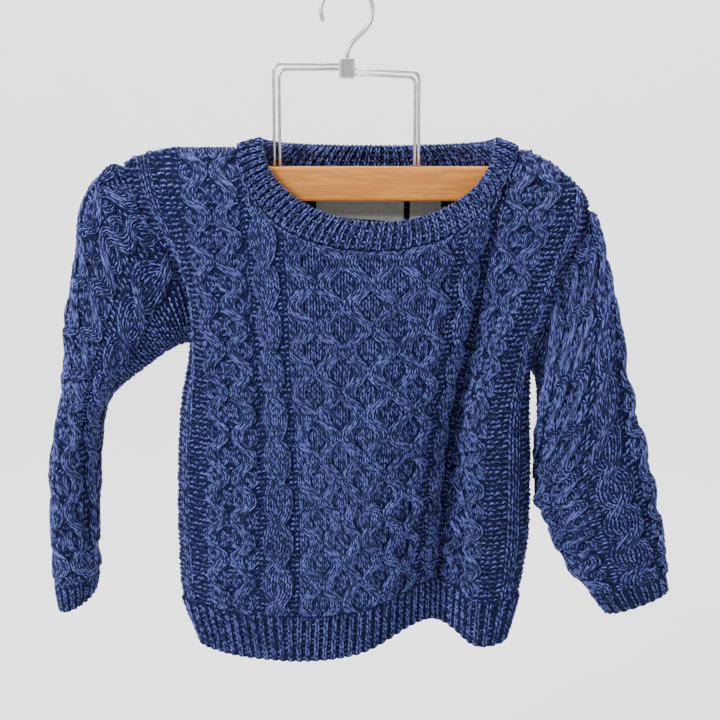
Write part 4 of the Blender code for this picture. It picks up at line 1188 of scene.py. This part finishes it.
def add_band_cloth(shaded_shell_wool, wool):
    """The ribbed neckband, with the same ribs on its inside."""
    cloth = band_cloth()
    pitch = BAND_LENGTH / BAND_RIBS

    def share(c, t):
        return c / BAND_LENGTH, t / BAND_WIDTH

    c, t = cloth.chart[..., 0], cloth.chart[..., 1]
    to_edge = np.clip(np.minimum(t, BAND_WIDTH - t) / 4.0, 0.3, 1)
    rise = SHELL_SHARE * RIB_RAISE * ridge((c / pitch) % 1.0 - 0.5, RIB_HALF) * to_edge
    shell = shell_piece("cloth_neckband", cloth, rise, SHELL_THICK, shaded_shell_wool)
    yarn = Yarn(cloth, 41)
    lay_ribs(yarn, share, BAND_LENGTH, BAND_WIDTH - 1, pitch)
    lay_ribs(yarn, share, BAND_LENGTH, BAND_WIDTH - 1, pitch, left=pitch / 2, base=SHELL_THICK, outward=-1.0)
    for out, rise in ((1.0, 0.6), (-1.0, SHELL_THICK + 0.3)):
        lay_edge(yarn, share, 0.0, BAND_LENGTH, BAND_WIDTH, rise, out)
    stitches = yarn.build("stitches_neckband", wool)
    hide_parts("neckband")
    return [shell, stitches]


def label_surface(name):
    """Grid of a label's middle: across it, then down from the seam."""
    left, right, drop_left, drop_right = LABELS[name]
    chart = np.linspace(NECK_LEFT, NECK_RIGHT, LABEL_SAMPLES)
    seam = panel_point("back", chart, np.full_like(chart, LABEL_TOP_Z))
    columns = int((right - left) / LABEL_PITCH) + 1
    share = np.linspace(0, 1, columns)
    x = left + (right - left) * share
    bottom = drop_left + (drop_right - drop_left) * share
    y = np.interp(x, seam[:, 0], seam[:, 1]) - LABEL_INSET
    rows = []
    for v in np.linspace(0, 1, LABEL_ROWS):
        curl = LABEL_CURL * v ** 2 * np.sin(np.pi * (1.6 * share + 0.2))
        rows.append(np.stack([x, y - curl, LABEL_TOP_Z + (bottom - LABEL_TOP_Z) * v], axis=-1))
    return np.array(rows)


def add_label_piece(name, tape, thread):
    """A bare woven label: a thin slab with a folded lower edge, and its line of stitching."""
    points = label_surface(name)
    normals = np.zeros(points.shape)
    normals[..., 1] = -1.0
    rows, columns = points.shape[:2]
    width = float(np.linalg.norm(np.diff(points[0], axis=0), axis=1).sum())
    height = float(points[0, 0, 2] - points[-1, 0, 2])
    chart = np.zeros(points.shape)
    chart[..., 0] = np.linspace(0, width, columns)
    chart[..., 1] = np.linspace(0, height, rows)[:, None]
    cloth = Cloth(points, normals, False, chart)
    to_side = np.minimum(chart[..., 0], width - chart[..., 0])
    hem = np.clip((chart[..., 1] - height + LABEL_HEM) / HEM_STEP, 0, 1) * HEM_RAISE
    selvedge = SELVEDGE_RAISE * np.exp(-((to_side - SELVEDGE_AT) / SELVEDGE_WIDTH) ** 2)
    half_thick = LABEL_THICKNESS * 0.35
    slab = shell_piece("tape_" + name, cloth, half_thick + hem + selvedge, half_thick, tape)
    yarn = Yarn(cloth, 51)

    def share(c, t):
        return c / width, t / height

    pace = np.arange(THREAD_START, width - THREAD_STOP, THREAD_PACE)
    c = pace[:, None] + THREAD_REACH
    t = np.full_like(c, height - THREAD_INSET)
    yarn.lay(share, c, t, np.full_like(c, half_thick + THREAD_LIFT), THREAD_RADIUS)
    stitches = yarn.build("thread_" + name, thread)
    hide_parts(name)
    return slab, stitches


# The hanger's wires, with the solids' own routes and rounder sections.

def wire_route(leg_x, corner_z, collar_z):
    """Up from between the slats, round a bend, and in to the collar."""
    inward = -math.copysign(1.0, leg_x)
    route = [(leg_x, 0.0, LEG_BOTTOM_Z)]
    for step in range(BEND_STEPS + 1):
        turn = math.radians(90 * step / BEND_STEPS)
        x = leg_x + inward * WIRE_BEND * (1 - math.cos(turn))
        route.append((x, 0.0, corner_z - WIRE_BEND * (1 - math.sin(turn))))
    collar_x = -inward * (COLLAR_SIZE[0] / 2 + NODE_GAP)
    route.append((collar_x, 0.0, collar_z))
    return route


def hook_route():
    """From the tip over the seat and down an S-bend to the collar."""
    centre_z = HOOK_WIRE - HOOK_RADIUS
    route = []
    for turn in np.linspace(HOOK_TIP_TURN, HOOK_NECK_TURN, HOOK_STEPS):
        angle = math.radians(turn)
        route.append((HOOK_RADIUS * math.cos(angle), 0.0, centre_z + HOOK_RADIUS * math.sin(angle)))
    start = np.array(route[-1])
    neck_turn = math.radians(HOOK_NECK_TURN)
    heading = np.array([math.sin(neck_turn), 0.0, -math.cos(neck_turn)])
    end = np.array([0.0, 0.0, COLLAR_Z + COLLAR_SIZE[2] / 2 + NODE_GAP])
    for u in even(NECK_STEPS)[1:]:
        pull = start + heading * HOOK_PULL
        rise = end + np.array([0.0, 0.0, HOOK_RISE])
        point = ((1 - u) ** 3 * start + 3 * u * (1 - u) ** 2 * pull
                 + 3 * u * u * (1 - u) * rise + u ** 3 * end)
        route.append(tuple(float(c) for c in point))
    return route


def add_wire(node, route, radius, steel):
    """A round wire along a route, with domed ends."""
    route = np.array(route)
    steps = np.gradient(route, axis=0)
    ahead = unit(steps)
    side = np.array([0.0, 1.0, 0.0])
    other = np.cross(ahead, side)
    turn = np.linspace(0, 2 * np.pi, WIRE_SIDES, endpoint=False)[:, None]
    sections = []
    for end, way in ((0, -1.0), (-1, 1.0)):
        caps = []
        for tilt in CAP_TILTS:
            at = route[end] + way * ahead[end] * radius * (math.sin(math.radians(tilt)) - 1)
            thin = radius * math.cos(math.radians(tilt))
            caps.append(at + thin * (np.cos(turn) * side + np.sin(turn) * other[end]))
        sections.append(caps)
    low, high = sections
    body = []
    for k in range(1, len(route) - 1):
        body.append(route[k] + radius * (np.cos(turn) * side + np.sin(turn) * other[k]))
    rings = np.array(low + body + high[::-1])
    shape = bmesh.new()
    rows = [[shape.verts.new(point * MM) for point in ring] for ring in rings]
    for one, two in zip(rows, rows[1:]):
        for k in range(WIRE_SIDES):
            j = (k + 1) % WIRE_SIDES
            shape.faces.new((one[k], one[j], two[j], two[k]))
    shape.faces.new(rows[0])
    shape.faces.new(rows[-1][::-1])
    bmesh.ops.recalc_face_normals(shape, faces=shape.faces)
    mesh = bpy.data.meshes.new("rod_" + node)
    shape.to_mesh(mesh)
    shape.free()
    wire = add_object("rod_" + node, mesh, steel)
    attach(wire, "root")
    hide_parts(node)


# Materials.

class Graph:
    """A material's nodes, each added with its inputs in order: numbers, colours or other nodes' outputs."""

    def __init__(self, name):
        self.material = bpy.data.materials.new(name)
        self.material.use_nodes = True
        self.tree = self.material.node_tree
        self.shader = self.tree.nodes["Principled BSDF"]

    def add(self, kind, *inputs, output=0, **settings):
        node = self.tree.nodes.new("ShaderNode" + kind)
        for key, value in settings.items():
            setattr(node, key, value)
        for socket, value in zip(node.inputs, inputs):
            self.give(socket, value)
        return node.outputs[output]

    def give(self, socket, value):
        if value is None:
            return
        if isinstance(value, bpy.types.NodeSocket):
            self.tree.links.new(value, socket)
        else:
            socket.default_value = value

    def set(self, **inputs):
        for key, value in inputs.items():
            self.give(self.shader.inputs[key.replace("_", " ")], value)

    def math(self, operation, first, second=0.0):
        return self.add("Math", first, second, operation=operation)

    def wave(self, value, pitch):
        return self.math("SINE", self.math("MULTIPLY", value, 2 * math.pi / pitch))

    def noise(self, place, scale, detail=2.0):
        node = self.tree.nodes.new("ShaderNodeTexNoise")
        self.give(node.inputs["Vector"], place)
        node.inputs["Scale"].default_value = scale
        node.inputs["Detail"].default_value = detail
        return node.outputs["Fac"]

    def span(self, value, low, high, to_low, to_high, smooth_step=False):
        node = self.tree.nodes.new("ShaderNodeMapRange")
        node.interpolation_type = "SMOOTHSTEP" if smooth_step else "LINEAR"
        for socket, given in zip(node.inputs, (value, low, high, to_low, to_high)):
            self.give(socket, given)
        return node.outputs["Result"]

    def mix(self, share, first, second, blend="MIX"):
        node = self.tree.nodes.new("ShaderNodeMix")
        node.data_type = "RGBA"
        node.blend_type = blend
        self.give(node.inputs[0], share)
        self.give(node.inputs[6], first)
        self.give(node.inputs[7], second)
        return node.outputs[2]

    def tones(self, value, low, high, first, second):
        """A colour that goes from first to second as value goes from low to high."""
        return self.mix(self.span(value, low, high, 0.0, 1.0), (*first, 1), (*second, 1))

    def stretched(self, scale):
        node = self.tree.nodes.new("ShaderNodeMapping")
        self.give(node.inputs["Vector"], self.place())
        node.inputs["Scale"].default_value = scale
        return node.outputs[0]

    def bump(self, height, strength, distance):
        node = self.tree.nodes.new("ShaderNodeBump")
        node.inputs["Strength"].default_value = strength
        node.inputs["Distance"].default_value = distance
        self.give(node.inputs["Height"], height)
        self.give(self.shader.inputs["Normal"], node.outputs["Normal"])

    def place(self):
        return self.add("TexCoord", output=3)

    def mark(self, name):
        node = self.tree.nodes.new("ShaderNodeAttribute")
        node.attribute_name = name
        split = self.tree.nodes.new("ShaderNodeSeparateXYZ")
        self.tree.links.new(node.outputs["Vector"], split.inputs[0])
        return split.outputs


def yarn_material():
    """Marled yarn: a dark and a light ply twisted together, with a felted, slightly shiny surface."""
    graph = Graph("wool_marled_navy")
    along, across, chance = graph.mark("yarn")
    phase = graph.math("MULTIPLY", along, 0.8)
    phase = graph.math("ADD", phase, graph.math("MULTIPLY", across, 0.35))
    phase = graph.math("ADD", phase, graph.math("MULTIPLY", chance, 7.0))
    ply = graph.span(graph.wave(phase, 1.0), -0.7, 0.7, 0.0, 1.0, smooth_step=True)
    colour = graph.mix(ply, (*PLY_DARK, 1), (*PLY_LIGHT, 1))
    tuft = graph.span(graph.noise(graph.place(), 700.0), 0.35, 0.65, 0.62, 1.38)
    broad = graph.span(graph.noise(graph.place(), 45.0), 0.3, 0.7, 0.8, 1.2)
    shade = graph.math("MULTIPLY", tuft, broad)
    graph.set(Base_Color=graph.mix(1.0, colour, shade, "MULTIPLY"), Roughness=0.82)
    graph.set(Specular_IOR_Level=0.25, Sheen_Weight=0.05, Sheen_Roughness=0.4, Sheen_Tint=(*WOOL_SHEEN, 1))
    fibre = graph.noise(graph.place(), 3500.0)
    graph.bump(graph.math("ADD", fibre, graph.math("MULTIPLY", ply, 0.8)), 0.5, 0.0003)
    return graph.material


def shell_painted_shade_material():
    """The knit under and behind the raised stitches, painted near black as the shade between them, with its
    own small stitches.
    """
    graph = Graph("wool_ground_painted_shade")
    across, along, _ = graph.mark("chart")
    knit = graph.math("MULTIPLY", graph.wave(across, WALE), graph.wave(along, ROW))
    fleck = graph.noise(graph.place(), 700.0)
    # Painted shade: the shell is coloured near black to stand for the shade between the stitches.
    colour = graph.tones(fleck, 0.4, 0.6, GROUND_SHADE_DARK, GROUND_SHADE_PALE)
    graph.set(Base_Color=colour, Roughness=0.95, Specular_IOR_Level=0.08)
    graph.bump(graph.math("ADD", graph.math("MULTIPLY", knit, 0.5), fleck), 0.6, 0.0008)
    return graph.material


def tape_material():
    """Woven label tape, off-white and a little uneven."""
    graph = Graph("label_tape")
    across, along, _ = graph.mark("chart")
    weave = graph.math("MULTIPLY", graph.wave(across, WARP_PITCH), graph.wave(along, WEFT_PITCH))
    colour = graph.tones(graph.noise(graph.place(), 160.0, 4.0), 0.3, 0.7, TAPE_DARK, TAPE_LIGHT)
    colour = graph.mix(graph.span(weave, -1.0, 1.0, 0.0, 0.35), colour, (*TAPE_GAP, 1))
    graph.set(Base_Color=colour, Roughness=0.6, Sheen_Weight=0.2)
    graph.bump(weave, 0.5, 0.00012)
    return graph.material


def thread_material():
    """Twisted sewing thread."""
    graph = Graph("label_thread")
    along, across, _ = graph.mark("yarn")
    twist = graph.math("SINE", graph.math("ADD", graph.math("MULTIPLY", along, 25.0), across))
    graph.set(Base_Color=graph.tones(twist, -1.0, 1.0, THREAD_DARK, THREAD_LIGHT), Roughness=0.5)
    return graph.material


def wood_material():
    """Pale beech: long soft figure along the bar, short dark flecks, a thin satin lacquer."""
    graph = Graph("beech_lacquered")
    figure = graph.noise(graph.stretched((1.0, 9.0, 16.0)), 9.0, 4.0)
    bands = graph.math("SINE", graph.math("MULTIPLY", figure, 34.0))
    colour = graph.tones(bands, -1.0, 1.0, WOOD_DARK, WOOD_LIGHT)
    fleck = graph.noise(graph.stretched((1.0, 7.0, 11.0)), 130.0, 1.0)
    colour = graph.mix(graph.span(fleck, 0.56, 0.70, 0.0, 0.7), colour, (*WOOD_FLECK, 1))
    graph.set(Base_Color=colour, Coat_Weight=0.12, Coat_Roughness=0.25)
    graph.set(Roughness=graph.span(fleck, 0.3, 0.7, 0.38, 0.52))
    graph.bump(graph.math("ADD", fleck, graph.math("MULTIPLY", figure, 0.5)), 0.12, 0.0002)
    return graph.material


def steel_material():
    """Drawn and plated wire, with faint scratches along it."""
    graph = Graph("wire_plated")
    drawn = graph.noise(graph.stretched((1.0, 1.0, 0.06)), 2500.0, 2.0)
    colour = graph.tones(graph.noise(graph.place(), 120.0, 3.0), 0.35, 0.7, STEEL_LIGHT, STEEL_DARK)
    graph.set(Base_Color=colour, Metallic=1.0, Roughness=graph.span(drawn, 0.3, 0.7, 0.2, 0.38))
    graph.bump(drawn, 0.15, 0.00008)
    return graph.material


def give_material(node, material):
    for slot in bpy.data.objects[node].material_slots:
        slot.material = material


# Floor, lights and camera.

def add_stage():
    """A round pale floor that sweeps up into a wall all round."""
    graph = Graph("studio_paper")
    paper = graph.mix(graph.noise(graph.place(), 6.0), (*PAPER_DARK, 1), (*PAPER_LIGHT, 1))
    graph.set(Base_Color=paper, Roughness=0.95)
    profile = [(0.0, FLOOR_Z), (WALL_AT - SWEEP_ROUND, FLOOR_Z)]
    for step in range(1, SWEEP_STEPS + 1):
        turn = math.radians(90 * step / SWEEP_STEPS)
        profile.append((WALL_AT - SWEEP_ROUND * (1 - math.sin(turn)),
                        FLOOR_Z + SWEEP_ROUND * (1 - math.cos(turn))))
    profile.append((WALL_AT, WALL_TOP))
    turns = [2 * math.pi * k / STAGE_SIDES for k in range(STAGE_SIDES)]
    points = [(r * math.cos(turn), r * math.sin(turn), z) for r, z in profile for turn in turns]
    faces = []
    for low in range(0, len(points) - STAGE_SIDES, STAGE_SIDES):
        for k in range(STAGE_SIDES):
            j = (k + 1) % STAGE_SIDES
            faces.append((low + k, low + j, low + STAGE_SIDES + j, low + STAGE_SIDES + k))
    mesh = bpy.data.meshes.new("floor")
    mesh.from_pydata(points, [], faces)
    add_object("floor", mesh, graph.material)


def add_light(name, place, target, size, power, colour):
    light = bpy.data.lights.new(name, "AREA")
    light.shape = "RECTANGLE"
    light.size, light.size_y = size
    light.energy = power
    light.color = colour
    lamp = bpy.data.objects.new(name, light)
    lamp.location = place
    lamp.rotation_euler = (Vector(target) - Vector(place)).to_track_quat("-Z", "Y").to_euler()
    bpy.context.scene.collection.objects.link(lamp)


def add_camera():
    camera = bpy.data.cameras.new("camera")
    camera.sensor_width = 36.0
    camera.lens = CAMERA_LENS
    camera.clip_start = 0.05
    eye = bpy.data.objects.new("camera", camera)
    eye.location = Vector(CAMERA_AT) * MM
    aim = Vector(CAMERA_AIM) - Vector(CAMERA_AT)
    eye.rotation_euler = aim.to_track_quat("-Z", "Y").to_euler()
    bpy.context.scene.collection.objects.link(eye)
    bpy.context.scene.camera = eye


def main():
    # ground is the shell's material, painted near black as the shade between the stitches.
    wool, ground = yarn_material(), shell_painted_shade_material()
    for side in ("front", "back"):
        for piece in add_panel_cloth(side, ground, wool):
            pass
    for hand in ("left", "right"):
        for piece in add_sleeve_cloth(hand, ground, wool):
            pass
    for piece in add_band_cloth(ground, wool):
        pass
    tape, thread = tape_material(), thread_material()
    for name in LABELS:
        for piece in add_label_piece(name, tape, thread):
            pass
    steel = steel_material()
    for node, place in WIRES.items():
        add_wire(node, wire_route(*place), WIRE_RADIUS, steel)
    add_wire("hook", hook_route(), HOOK_WIRE, steel)
    give_material("hook_collar", steel)
    wood = wood_material()
    give_material("slat_front", wood)
    give_material("slat_back", wood)
    add_stage()
    for light in LIGHTS:
        add_light(*light)
    world = bpy.data.worlds.new("studio")
    world.use_nodes = True
    background = world.node_tree.nodes["Background"]
    background.inputs["Color"].default_value = (*SKY, 1)
    background.inputs["Strength"].default_value = SKY_STRENGTH
    bpy.context.scene.world = world
    add_camera()


main()
